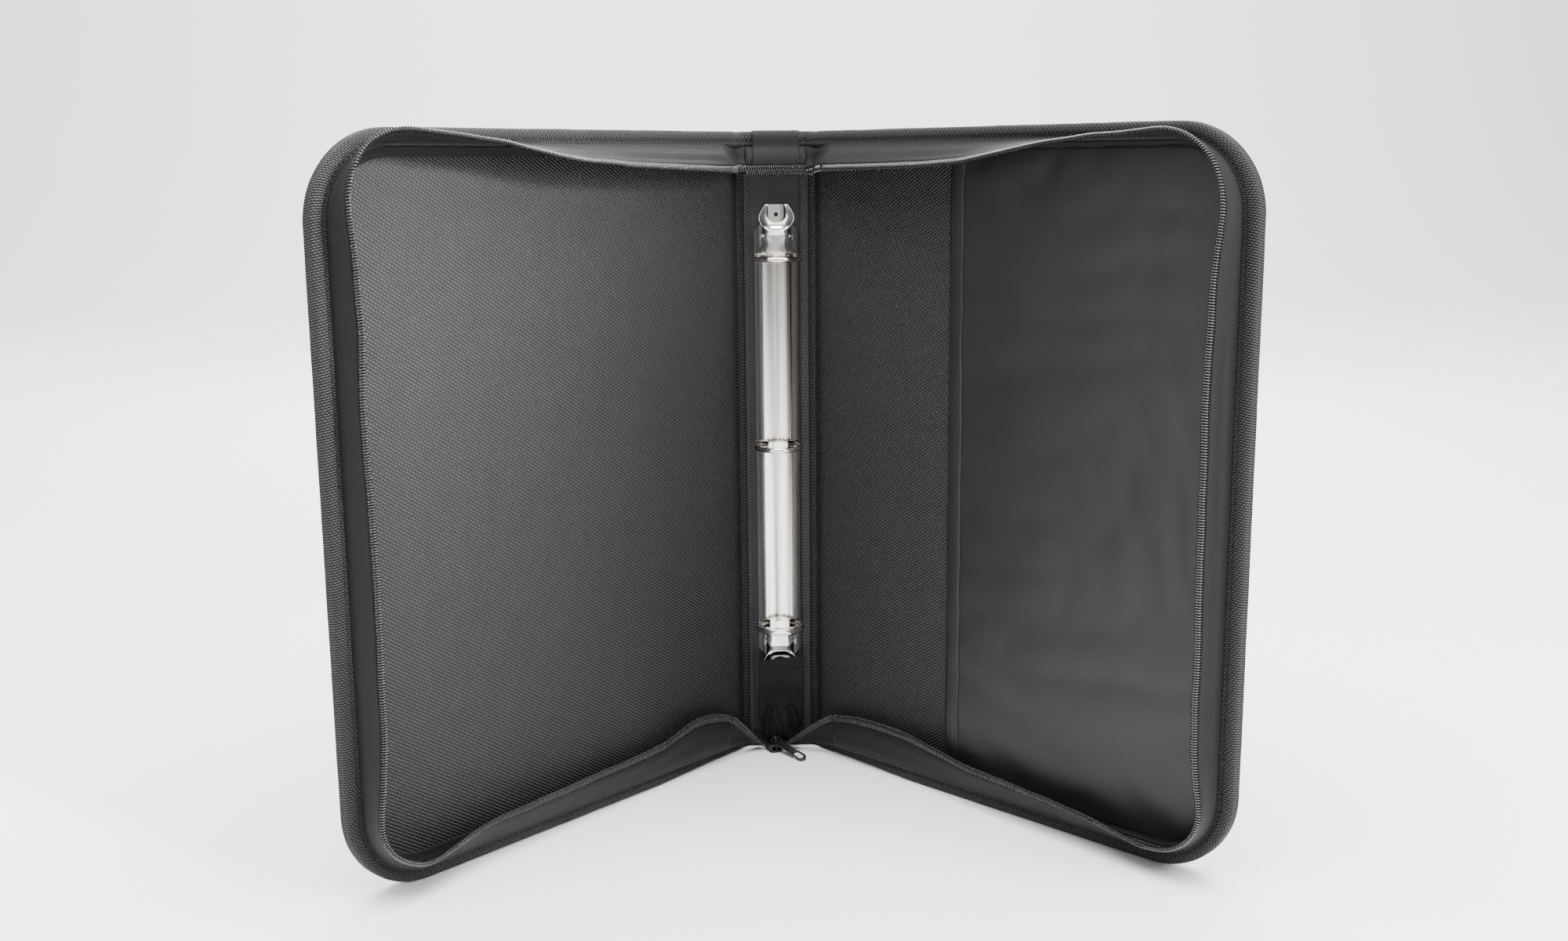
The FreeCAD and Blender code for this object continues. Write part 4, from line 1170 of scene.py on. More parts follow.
def settle(grid: Points, pinned: Points, slack: float, push: float, cap: float, frames: int = 18) -> Points:
    """Let a sheet with a little spare cloth settle between its sewn edges.

    Args:
        grid: Rows by columns by three, the flat cut in place.
        pinned: Rows by columns, from 0, free, to 1, sewn down.
        slack: Share of spare cloth.
        push: Air pressure under it.
        cap: The farthest that a point may move.
        frames: Steps of the simulation.

    Returns:
        The settled grid.
    """
    rows, columns = grid.shape[:2]
    mesh = bpy.data.meshes.new("settling")
    mesh.from_pydata(grid.reshape(-1, 3).tolist(), [], grid_faces(rows, columns))
    holder = bpy.data.objects.new("settling", mesh)
    bpy.context.scene.collection.objects.link(holder)
    group = holder.vertex_groups.new(name="sewn")
    for index, weight in enumerate(pinned.ravel()):
        if weight > 0:
            group.add([index], float(weight), "REPLACE")
    cloth = holder.modifiers.new("cloth", "CLOTH")
    cloth.settings.vertex_group_mass = "sewn"
    cloth.settings.quality = 5
    cloth.settings.mass = 0.3
    cloth.settings.tension_stiffness = 30
    cloth.settings.compression_stiffness = 30
    cloth.settings.bending_stiffness = 25.0
    cloth.settings.shrink_min = -slack
    cloth.settings.use_pressure = True
    cloth.settings.uniform_pressure_force = push
    cloth.settings.effector_weights.gravity = 0.0
    scene = bpy.context.scene
    for step in range(1, frames + 1):
        scene.frame_set(step)
    shown = holder.evaluated_get(bpy.context.evaluated_depsgraph_get())
    moved = np.zeros(rows * columns * 3, np.float32)
    shown.data.vertices.foreach_get("co", moved)
    scene.frame_set(1)
    bpy.data.objects.remove(holder)
    bpy.data.meshes.remove(mesh)
    shift = moved.reshape(rows, columns, 3).astype(float) - grid
    far = np.linalg.norm(shift, axis=2, keepdims=True)
    return grid + shift * np.minimum(1.0, cap / np.maximum(far, 1e-9))


@dataclass
class CoverPanels:
    """The lining and the outer cloth of one cover."""

    walls: Walls
    side: Side
    looks: Finishes
    lining_start: float = 5.6 * MM
    skin_start: float = 1.2 * MM
    cloth: float = 0.7 * MM
    binding_wide: float = 5.0 * MM

    def build(self) -> None:
        """Make both sheets and the binding that finishes the lining's edge."""
        self.build_lining()
        self.build_skin()
        self.build_binding()

    def build_lining(self) -> None:
        """The lining, drawn over the board with a little spare cloth."""
        shape = PanelShape(self.walls, self.side, self.lining_start, self.walls.border_width + 0.1 * MM)
        run, height = shape.grid()
        flat = self.walls.on_cover(self.side, run, height, self.walls.depth - self.cloth / 2)
        grid = flat
        sewn = np.zeros(run.shape)
        sewn[[0, -1], :] = 1
        sewn[:, [0, -1]] = 1
        grid = settle(flat, sewn, 0.002, 0.0, 0.5 * MM)
        inward = self.walls.on_cover(self.side, 0.0, 0.0, 1.0) - self.walls.on_cover(self.side, 0.0, 0.0, 0.0)
        lift = np.sum((grid - flat) * inward, axis=-1, keepdims=True)
        grid = flat + inward * (np.abs(lift) + self.wave(run, height)[..., None])
        lining = cloth_shell(f"{self.side.word}_cover_lining", grid, np.stack([run, height], axis=-1),
                             self.cloth, self.looks.lining)
        finish_piece(lining, f"{self.side.word}_cover", "lining_fabric", f"{self.side.word}_lining")
        declare_sheet(lining, self.walls.width - self.lining_start - self.walls.border_width,
                      self.walls.height - 2 * self.walls.border_width, "stretched",
                      f"{self.side.word}_board", area=shape.area)

    def wave(self, run: Points, height: Points) -> Points:
        """How far the lining stands off its board, flat at its sewn edges."""
        walls = self.walls
        edge = np.minimum.reduce([run - self.lining_start, walls.width - walls.border_width - run,
                                  height - walls.border_width, walls.height - walls.border_width - height])
        share = ease(edge / (18 * MM))
        return share * (0.25 * MM + np.abs(ripple(run + 0.6 * height, 31, 0.35 * MM, 0.16))
                        + np.abs(ripple(height - 0.3 * run, 37, 0.25 * MM, 0.21)))

    def build_skin(self) -> None:
        """The outer cloth, slightly crowned over its padding."""
        shape = PanelShape(self.walls, self.side, self.skin_start, self.walls.border_width - 3.0 * MM)
        run, height = shape.grid()
        edge = np.minimum.reduce([run - self.skin_start + 4 * MM, self.walls.width - shape.inset - run,
                                  height - shape.inset, self.walls.height - shape.inset - height])
        crown = ease(edge / (16 * MM)) * (0.9 * MM + ripple(run * 0.7 + height, 41, 0.15 * MM, 0.15))
        grid = self.walls.on_cover(self.side, run, height, 0.45 * MM - crown)
        skin = cloth_shell(f"{self.side.word}_outer_cloth", grid, np.stack([height, run], axis=-1),
                           self.cloth, self.looks.border)
        finish_piece(skin, f"{self.side.word}_cover", "outer_fabric", f"{self.side.word}_outer_skin")
        declare_sheet(skin, self.walls.width - self.skin_start - shape.inset,
                      self.walls.height - 2 * shape.inset, "stretched",
                      f"{self.side.word}_board", area=shape.area)

    def build_binding(self) -> None:
        """A twill binding round the lining, turned over where it meets the border."""
        inset = self.walls.border_width + self.binding_wide
        path = EdgePath(self.walls, inset, 7 * MM, 7 * MM)
        distances, places = path.stations(3.0 * MM)
        across = np.linspace(0, 1, 7)
        outward = across * (self.binding_wide - 0.2 * MM)
        lift = self.walls.depth + 0.55 * MM + 0.45 * MM * np.sin(across * math.pi) + 2.2 * MM * across ** 3
        run = places[:, 0, None] + outward[None] * places[:, 2, None]
        height = places[:, 1, None] + outward[None] * places[:, 3, None]
        wavy = ripple(distances, 51 + self.side.value, 0.25 * MM)[:, None] * (1 - across)[None]
        grid = self.walls.on_cover(self.side, run, height, lift[None] + np.abs(wavy))
        uv = np.stack(np.meshgrid(distances, outward, indexing="ij"), axis=-1)
        band = cloth_shell(f"{self.side.word}_lining_binding", grid, uv, 0.5 * MM, self.looks.tape)
        finish_piece(band, f"{self.side.word}_cover", "zip_tape")
        declare_sheet(band, path.total, self.binding_wide, "stretched", f"{self.side.word}_cover_lining")


@dataclass
class Pocket:
    """The smooth pocket inside the right cover, open towards the spine, with a stitched hem."""

    walls: Walls
    looks: Finishes
    side: Side = Side.RIGHT
    start: float = 105.0 * MM
    cloth: float = 0.6 * MM
    hem: float = 9.0 * MM
    stitch_step: float = 4.2 * MM

    def build(self) -> None:
        """Make the sheet, its turned hem and the hem's stitches."""
        shape = PanelShape(self.walls, self.side, self.start, self.walls.border_width + 0.2 * MM, 52, 84)
        run, height = shape.grid()
        flat = self.walls.on_cover(self.side, run, height, self.walls.depth + 1.0 * MM)
        inward = self.walls.on_cover(self.side, 0.0, 0.0, 1.0) - self.walls.on_cover(self.side, 0.0, 0.0, 0.0)
        lift = np.zeros(run.shape)
        sewn = np.zeros(run.shape)
        sewn[-1, :] = 1
        sewn[:, [0, -1]] = 1
        sewn[0, :] = 0.5
        grid = settle(flat, sewn, 0.0015, 0.0, 1.2 * MM)
        lift = np.abs(np.sum((grid - flat) * inward, axis=-1))
        lift = lift + self.sag(run, height)
        grid = flat + inward * lift[..., None]
        panel = cloth_shell("pocket_sheet", grid, np.stack([run, height], axis=-1), self.cloth,
                            self.looks.vinyl)
        finish_piece(panel, "right_cover", "pocket_vinyl", "pocket_panel")
        declare_sheet(panel, self.walls.width - self.start - shape.inset,
                      self.walls.height - 2 * shape.inset, "hung", "right_cover_lining",
                      area=shape.area)
        self.build_hem(run, height, lift)

    def sag(self, run: Points, height: Points) -> Points:
        """How far the loose sheet stands off the lining."""
        walls = self.walls
        free = np.minimum.reduce([walls.width - walls.border_width - run, height - walls.border_width,
                                  walls.height - walls.border_width - height])
        share = ease(free / (40 * MM))
        swell = 0.9 * MM * np.exp(-((height - 0.17) / 0.055) ** 2 - ((run - 0.175) / 0.05) ** 2)
        fold = 0.7 * MM * np.exp(-((height - 0.225 - 0.25 * (run - 0.18)) / 0.016) ** 2)
        fold = fold * ease((run - 0.11) / 0.05)
        return share * (0.5 * MM + swell + fold + np.abs(ripple(height + 0.4 * run, 61, 0.4 * MM, 0.19)))

    def build_hem(self, run: Points, height: Points, lift: Points) -> None:
        """Turn the sheet's free edge over and sew it."""
        rows = np.linspace(0, self.hem, 8)
        rise = height[0]
        near = np.array([np.interp(self.start + rows, run[:, c], lift[:, c]) for c in range(len(rise))]).T
        pad = 0.45 * MM + 0.35 * MM * np.sin(math.pi * rows / self.hem)[:, None]
        grid = self.walls.on_cover(self.side, self.start + rows[:, None] + 0 * rise[None],
                                   rise[None] + 0 * rows[:, None],
                                   self.walls.depth + 1.0 * MM + near + pad)
        uv = np.stack(np.meshgrid(rows, rise, indexing="ij"), axis=-1)
        hem = cloth_shell("pocket_hem_fold", grid, uv, 0.5 * MM, self.looks.vinyl)
        finish_piece(hem, "right_cover", "pocket_vinyl", "pocket_hem")
        declare_sheet(hem, self.hem, self.walls.height - 2 * self.walls.border_width, "folded",
                      "pocket_sheet")
        lines = []
        for place in np.arange(rise[0] + 3 * MM, rise[-1] - 4 * MM, self.stitch_step):
            heights = place + np.array([0.0, 0.15, 0.75, 0.9]) * (self.stitch_step - 1.2 * MM)
            base = np.interp(heights, rise, near[-1])
            depth = self.walls.depth + 1.0 * MM + base + np.array([0.4, 0.95, 0.95, 0.4]) * MM
            lines.append(self.walls.on_cover(self.side, self.start + self.hem - 1.2 * MM, heights, depth))
        sewn = many_tubes("pocket_hem_stitches", lines, 0.2 * MM, self.looks.thread, 6)
        finish_piece(sewn, "right_cover", "pocket_vinyl")


# ---------------------------------------------------------------- spine and hinges


@dataclass
class Hinges:
    """The cloth that runs on from the spine to a cover: outside, lining and both borders."""

    walls: Walls
    side: Side
    looks: Finishes
    cloth: float = 0.7 * MM
    border_tuck: float = 1.8 * MM
    border_bend: float = 7.2 * MM

    def span(self, on_spine: tuple[float, float], on_cover: tuple[float, float], heights: Points,
             steps: int = 15, crown: float = 0.0) -> tuple[Points, Points]:
        """A strip that bends from the spine's plane into the cover's plane.

        Args:
            on_spine: Distance before the hinge and depth where it starts.
            on_cover: Distance after the hinge and depth where it ends.
            heights: Its heights.
            steps: Points across the bend.
            crown: How far its middle stands proud.

        Returns:
            The grid of points, and its cloth coordinates.
        """
        walls, sign = self.walls, self.side.value
        begin = np.array([sign * (walls.hinge - on_spine[0]), walls.back - on_spine[1]])
        finish = walls.on_cover(self.side, on_cover[0], 0.0, on_cover[1])[:2]
        heading = np.array([sign * 1.0, 0.0])
        leaving = np.array([sign * math.cos(walls.angle), -math.sin(walls.angle)])
        reach = float(np.linalg.norm(finish - begin))
        share = np.linspace(0, 1, steps)[:, None]
        a, b = 2 * share ** 3 - 3 * share ** 2 + 1, share ** 3 - 2 * share ** 2 + share
        c, d = -2 * share ** 3 + 3 * share ** 2, share ** 3 - share ** 2
        line = a * begin + b * heading * reach + c * finish + d * leaving * reach
        out = np.stack([-(line[-1] - line[0])[1], (line[-1] - line[0])[0]]) / reach * sign
        line = line + crown * np.sin(math.pi * share) * out
        grid = np.concatenate([np.repeat(line[:, None], len(heights), axis=1),
                               np.broadcast_to(heights[None, :, None], (steps, len(heights), 1))], axis=2)
        uv = np.stack(np.meshgrid(np.linspace(0, reach, steps), heights, indexing="ij"), axis=-1)
        return grid, uv

    def bend(self, piece: bpy.types.Object) -> None:
        """Bake a piece that lies across this hinge into place."""
        walls = self.walls
        end = Vector(walls.on_cover(self.side, 6 * MM, 0.0, 0.0).tolist())
        bend_piece(piece, f"{self.side.word}_cover")

    def build(self) -> None:
        """Make the four strips."""
        word, walls = self.side.word, self.walls
        tall = walls.height - 2 * walls.border_width
        heights = np.linspace(walls.border_width - 2.0 * MM, walls.height - walls.border_width + 2.0 * MM, 60)
        grid, uv = self.span((4 * MM, 0.45 * MM), (3.2 * MM, 0.45 * MM), heights)
        back = cloth_shell(f"{word}_hinge_outer_cloth", grid, uv[..., ::-1], self.cloth, self.looks.border)
        self.bend(back)
        declare_sheet(back, 7.2 * MM + 2.0 * MM, tall + 4 * MM, "stretched", "spine_board")
        heights = np.linspace(walls.border_width + 0.2 * MM, walls.height - walls.border_width - 0.2 * MM, 60)
        grid, uv = self.span((2.4 * MM, 3.4 * MM), (7.6 * MM, 3.2 * MM), heights, crown=0.6 * MM)
        front = cloth_shell(f"{word}_hinge_lining", grid, uv, self.cloth, self.looks.lining)
        self.bend(front)
        declare_sheet(front, 10 * MM, tall, "stretched", "spine_board")
        self.build_border("upper", walls.height, -1.0, walls.border_depth, 12.6 * MM)
        self.build_border("lower", 0.0, 1.0, 5.0 * MM, 8.6 * MM)

    def build_border(self, name: str, edge: float, inward: float, high: float, cover_run: float) -> None:
        """A border's bend across the hinge.

        Args:
            name: Which border.
            edge: Height of its outer edge.
            inward: Direction along Z towards the case's middle.
            high: Its depth.
            cover_run: How far along the cover it reaches.
        """
        shape = CoverEdge(self.walls, self.side, self.looks)
        section = shape.section(self.walls.border_width - 0.3 * MM, high - 0.35 * MM)
        rings, uvs = [], []
        slope = math.tan(self.walls.angle / 2)
        lengths = np.cumsum([0] + [math.dist(a, b) for a, b in zip(section, section[1:])])
        for inset, depth in section:
            height = np.array([edge + inward * (inset + 0.15 * MM)])
            spread = 0.35 * MM + depth
            grid, uv = self.span((self.border_tuck + slope * depth, spread - 0.2 * MM),
                                 (cover_run, spread - 0.2 * MM), height, 13)
            rings.append(grid[:, 0])
            uvs.append(uv[:, 0, 0])
        rings = np.transpose(np.array(rings), (1, 0, 2))
        uv = np.stack([np.transpose(np.array(uvs)), np.broadcast_to(lengths, (13, len(lengths)))], axis=-1)
        roll = ring_sweep(f"{self.side.word}_hinge_{name}_border", rings, self.looks.border, uv)
        bend_piece(roll, f"{self.side.word}_cover")


@dataclass
class Spine:
    """The spine's cloth: outside, lining, side tapes with piping, top and bottom borders."""

    walls: Walls
    looks: Finishes
    cloth: float = 0.7 * MM
    border_half: float = 20.4 * MM
    lining_half: float = 20.3 * MM
    left_tape_wide: float = 4.8 * MM
    right_tape_wide: float = 7.0 * MM
    tape_inset: float = 1.5 * MM

    def build(self) -> None:
        """Make every piece of the spine's cloth."""
        walls = self.walls
        heights = np.linspace(walls.border_width - 2 * MM, walls.height - walls.border_width + 2 * MM, 90)
        x = np.linspace(-(walls.hinge - 3.6 * MM), walls.hinge - 3.6 * MM, 16)
        across, up = np.meshgrid(x, heights, indexing="ij")
        crown = 0.5 * MM * np.cos(across / walls.hinge * math.pi / 2) + ripple(up, 71, 0.1 * MM)
        skin = cloth_shell("spine_outer_cloth", walls.on_spine(across, up, 0.45 * MM - crown),
                           np.stack([up, across], axis=-1), self.cloth, self.looks.border)
        finish_piece(skin, "spine", "outer_fabric", "spine_outer_skin")
        declare_sheet(skin, 2 * (walls.hinge - 3.6 * MM),
                      walls.height - 2 * walls.border_width + 4 * MM, "stretched", "spine_board")
        heights = np.linspace(walls.border_width + 0.2 * MM, walls.height - walls.border_width - 0.2 * MM, 90)
        across, up = np.meshgrid(np.linspace(-self.lining_half, self.lining_half, 18), heights, indexing="ij")
        depth = walls.depth - self.cloth / 2 + np.abs(ripple(up + across, 73, 0.1 * MM))
        lining = cloth_shell("spine_cover_lining", walls.on_spine(across, up, depth),
                             np.stack([up, across], axis=-1), self.cloth, self.looks.spine)
        finish_piece(lining, "spine", "lining_fabric", "spine_lining")
        declare_sheet(lining, 2 * self.lining_half, walls.height - 2 * walls.border_width,
                      "stretched", "spine_board")
        self.build_border("spine_upper_roll", "spine_top_border", walls.height, -1.0, walls.border_depth)
        self.build_border("spine_lower_roll", "spine_bottom_border", 0.0, 1.0, 4.4 * MM)
        for side in Side:
            self.build_tape(side)

    def build_border(self, name: str, node: str, edge: float, inward: float, high: float) -> None:
        """A border roll straight across the spine."""
        shape = CoverEdge(self.walls, Side.RIGHT, self.looks)
        if high < self.walls.border_depth:
            shape.front_round = 1.6 * MM
            shape.back_round = 1.6 * MM
        section = shape.section(self.walls.border_width, high)
        x = np.linspace(-self.border_half, self.border_half, 24)
        lengths = np.cumsum([0] + [math.dist(a, b) for a, b in zip(section, section[1:])])
        rings = np.array([self.walls.on_spine(place, edge + inward * np.array([p[0] for p in section]),
                                              np.array([p[1] for p in section])) for place in x])
        uv = np.array([[(place, length) for length in lengths] for place in x])
        roll = ring_sweep(name, rings, self.looks.border, uv)
        finish_piece(roll, "spine", "outer_fabric", node)

    def build_tape(self, side: Side) -> None:
        """A twill tape along one side of the spine, with a piping beside it and a row of stitches."""
        walls, sign = self.walls, side.value
        tape_wide = self.left_tape_wide if side is Side.LEFT else self.right_tape_wide
        heights = np.linspace(walls.border_width + 0.3 * MM,
                              walls.height - walls.border_width - 0.3 * MM, 120)
        outer = walls.hinge - self.tape_inset
        across = np.linspace(0, tape_wide, 8)
        place, up = np.meshgrid(across, heights, indexing="ij")
        depth = walls.depth + 0.5 * MM + 0.25 * MM * np.sin(math.pi * place / tape_wide)
        tape = cloth_shell(f"{side.word}_side_tape", walls.on_spine(sign * (outer - place), up, depth),
                           np.stack([up, place], axis=-1), 0.5 * MM, self.looks.seam)
        finish_piece(tape, "spine", "seam_twill", f"{side.word}_seam_tape")
        declare_sheet(tape, tape_wide, heights[-1] - heights[0], "laid", "spine_cover_lining")
        line = walls.on_spine(sign * (outer - 1.45 * MM) + 0 * heights, heights,
                              walls.depth + 0.75 * MM + ripple(heights, 77 + sign, 0.08 * MM))
        points, faces = tube_along(line, 0.7 * MM, 10)
        uv = np.stack([np.repeat(heights, 10), np.tile(np.linspace(0, 5 * MM, 10), len(heights))], axis=-1)
        piping = make_piece(f"{side.word}_piping", points, faces, self.looks.ribbon, uv)
        finish_piece(piping, "spine", "seam_twill")
        lines = []
        for low in np.arange(heights[0] + 2 * MM, heights[-1] - 4 * MM, 3.2 * MM):
            rise = low + np.array([0.0, 0.4, 1.8, 2.2]) * MM
            lines.append(walls.on_spine(sign * (outer - tape_wide + 1.2 * MM) + 0 * rise, rise,
                                        walls.depth + np.array([0.5, 0.95, 0.95, 0.5]) * MM))
        sewn = many_tubes(f"{side.word}_side_stitches", lines, 0.2 * MM, self.looks.thread, 6)
        finish_piece(sewn, "spine", "seam_twill")


# ---------------------------------------------------------------- closed ends of the zip


def curve_between(begin: Points, leaving: Points, finish: Points, arriving: Points, steps: int) -> Points:
    """A smooth line between two points with given directions.

    Args:
        begin: Its first point.
        leaving: Direction and strength at the first point.
        finish: Its last point.
        arriving: Direction and strength at the last point.
        steps: Number of points.

    Returns:
        The points.
    """
    share = np.linspace(0, 1, steps)[:, None]
    a, b = 2 * share ** 3 - 3 * share ** 2 + 1, share ** 3 - 2 * share ** 2 + share
    c, d = -2 * share ** 3 + 3 * share ** 2, share ** 3 - share ** 2
    return a * begin + b * leaving + c * finish + d * arriving


def wind_coil(line: Points, up: Points, zip_half: ZipHalf, phase: float = 0.0,
              scale: float = 1.0) -> tuple[Points, list]:
    """A coil wound round a line.

    Args:
        line: The coil's middle.
        up: Direction across the coil in its own plane, one row for each point.
        zip_half: The zip half whose sizes it takes.
        phase: Where the first turn starts, in radians.
        scale: Its width against the zip half's.

    Returns:
        The coil's vertices and faces.
    """
    lengths = np.concatenate([[0], np.cumsum(np.linalg.norm(np.diff(line, axis=0), axis=1))])
    at = np.linspace(0, lengths[-1], int(lengths[-1] / zip_half.coil_pitch * 11) + 2)
    centre = np.stack([np.interp(at, lengths, line[:, k]) for k in range(3)], axis=1)
    wide = np.stack([np.interp(at, lengths, up[:, k]) for k in range(3)], axis=1)
    tangent = np.gradient(centre, axis=0)
    tangent /= np.maximum(np.linalg.norm(tangent, axis=1, keepdims=True), 1e-12)
    wide -= tangent * np.sum(wide * tangent, axis=1, keepdims=True)
    wide /= np.maximum(np.linalg.norm(wide, axis=1, keepdims=True), 1e-12)
    face = np.cross(tangent, wide)
    turn = 2 * math.pi * at / zip_half.coil_pitch + phase
    line = (centre + wide * (scale * zip_half.coil_wide / 2 * np.cos(turn))[:, None]
            + face * (zip_half.coil_tall / 2 * np.sin(turn))[:, None])
    return tube_along(line, zip_half.coil_wire, 6)


@dataclass
class ZipEnds:
    """The two closed ends of the zip: the chain across the spine's top, and the run to the slider."""

    walls: Walls
    looks: Finishes
    left: ZipHalf
    right: ZipHalf
    top_height: float = 344.6 * MM
    top_depth: float = 15.0 * MM
    gusset_half: float = 17.0 * MM
    row_gap: float = 2.3 * MM
    row_scale: float = 0.78
    patch_half: float = 13.3 * MM

    def build(self) -> None:
        """Make the top gusset, its patch and chain, and both runs of tape at each end."""
        self.build_gusset()
        self.build_patch()
        self.build_chain()
        for half in (self.left, self.right):
            self.build_top_run(half)
            self.build_low_run(half)

    def gusset_line(self, share: Points) -> tuple[Points, Points]:
        """Depth and height of the top gusset from the border down to the chain."""
        low = self.walls.border_depth + 0.1 * MM
        high = self.walls.height - self.walls.border_width
        depth = low + (self.top_depth - 0.7 * MM - low) * share + 1.0 * MM * np.sin(math.pi * share)
        return depth, high + (self.top_height + 1.6 * MM - high) * share

    def build_gusset(self) -> None:
        """The tape that hangs from the spine's top border down to the chain."""
        x = np.linspace(-self.gusset_half, self.gusset_half, 40)
        share = np.linspace(0, 1, 10)
        place, part = np.meshgrid(x, share, indexing="ij")
        depth, height = self.gusset_line(part)
        depth = depth + ripple(place * 1.5, 83, 0.35 * MM, 0.03) * np.sin(math.pi * part)
        uv = np.stack([place, part * 12 * MM], axis=-1)
        piece = cloth_shell("top_gusset_cloth", self.walls.on_spine(place, height, depth), uv, 0.6 * MM,
                            self.looks.tape)
        finish_piece(piece, "spine", "binding_ribbon", "top_gusset")
        declare_sheet(piece, 2 * self.gusset_half, 12.5 * MM, "hung", "spine_upper_roll")

    def build_patch(self) -> None:
        """The smooth ribbon folded over the border and the gusset."""
        x = np.linspace(-self.patch_half, self.patch_half, 24)
        share = np.linspace(0, 1, 22)
        low, high = self.walls.border_depth, self.walls.height
        profile = []
        for part in share:
            if part < 0.35:
                turn = part / 0.35
                angle = math.pi / 2 * turn
                profile.append((low - 4.2 * MM + 4.6 * MM * math.sin(angle),
                                high + 0.45 * MM - 4.0 * MM * (1 - math.cos(angle))))
            else:
                depth, height = self.gusset_line(np.array(max(0.0, (part - 0.5) / 0.5)))
                top = (low + 0.5 * MM, high - 3.8 * MM)
                blend = float(ease(np.array((part - 0.35) / 0.15)))
                profile.append((top[0] + (float(depth) + 0.75 * MM - top[0]) * blend,
                                top[1] + (float(height) - top[1]) * blend))
        profile = np.array(profile)
        place, _ = np.meshgrid(x, share, indexing="ij")
        depth = np.broadcast_to(profile[:, 0], place.shape) + ripple(place, 87, 0.12 * MM, 0.02)
        height = np.broadcast_to(profile[:, 1], place.shape)
        lengths = np.concatenate([[0], np.cumsum(np.hypot(*np.diff(profile, axis=0).T))])
        uv = np.stack([np.broadcast_to(lengths, place.shape), place], axis=-1)
        piece = cloth_shell("top_ribbon_patch", self.walls.on_spine(place, height, depth), uv, 0.5 * MM,
                            self.looks.ribbon)
        finish_piece(piece, "spine", "binding_ribbon", "top_binding_patch")
        declare_sheet(piece, 2 * self.patch_half, float(lengths[-1]), "folded",
                      "spine_upper_roll", "top_gusset_cloth")

    def chain_row(self, half: ZipHalf, x: Points) -> Points:
        """The middle of one of the closed chain's two rows, upper for the left half."""
        drop = 0.0 if half.side is Side.LEFT else -self.row_gap
        return self.walls.on_spine(x, self.top_height + drop + 0 * x, self.top_depth + 0 * x)

    def build_chain(self) -> None:
        """Two coils meshed in two rows across the spine."""
        points, faces, start = [], [], 0
        for half, phase in ((self.left, 0.0), (self.right, math.pi)):
            x = np.linspace(-self.gusset_half, self.gusset_half, 60)
            line = self.chain_row(half, x)
            up = np.tile(np.array([0.0, 0.0, 1.0]), (len(x), 1))
            some, quads = wind_coil(line, up, half, phase, self.row_scale)
            points.append(some)
            faces.extend(tuple(i + start for i in quad) for quad in quads)
            start += len(some)
        chain = make_piece("top_chain_coils", np.vstack(points), faces, self.looks.coil)
        finish_piece(chain, "spine", "zip_coil", "top_closed_chain")

    def build_top_run(self, half: ZipHalf) -> None:
        """The tape and coil from the spine's closed chain out to a cover's tape."""
        sign, word = half.side.value, half.side.word
        first = np.array([0.0, 1.2 * MM])
        coil = half.spots(first, np.full(2, half.coil_middle), np.zeros(2))
        seam = half.spots(first, np.zeros(2), np.zeros(2))
        begin = self.chain_row(half, np.array([sign * self.gusset_half]))[0]
        push = 0.022 * np.array([sign * 1.0, 0.0, 0.0])
        edge = coil[1] - coil[0]
        edge_line = curve_between(begin, push, coil[0], edge / np.linalg.norm(edge) * 0.022, 26)
        depth, height = self.gusset_line(np.array(0.0))
        root = self.walls.on_spine(np.array(sign * self.gusset_half), height, depth)
        side_way = seam[1] - seam[0]
        seam_line = curve_between(root, push, seam[0], side_way / np.linalg.norm(side_way) * 0.022, 26)
        self.run_between(half, f"{word}_top", seam_line, edge_line)

    def build_low_run(self, half: ZipHalf) -> None:
        """The tape and coil from a cover's tape down to the slider."""
        sign, word = half.side.value, half.side.word
        last = np.array([half.path.total - 1.2 * MM, half.path.total])
        coil = half.spots(last, np.full(2, half.coil_middle), np.zeros(2))
        seam = half.spots(last, np.zeros(2), np.zeros(2))
        low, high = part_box("zip_slider")
        mouth = Vector(((low.x + high.x) / 2, (low.y + high.y) / 2, (low.z + high.z) / 2))
        finish = np.array([mouth.x + sign * 5.6 * MM, mouth.y + 0.5 * MM, mouth.z + 0.4 * MM])
        heading = np.array([-sign * 0.016, 0.0, -0.004])
        edge = (coil[1] - coil[0]) / np.linalg.norm(coil[1] - coil[0])
        edge_line = curve_between(coil[1], edge * 0.018, finish, heading, 40)
        under = np.array([mouth.x + sign * 8.2 * MM, mouth.y + 4.2 * MM, mouth.z + 1.2 * MM])
        side_way = (seam[1] - seam[0]) / np.linalg.norm(seam[1] - seam[0])
        seam_line = curve_between(seam[1], side_way * 0.024, under, heading * 0.8, 40)
        self.run_between(half, f"{word}_low", seam_line[::-1], edge_line[::-1])

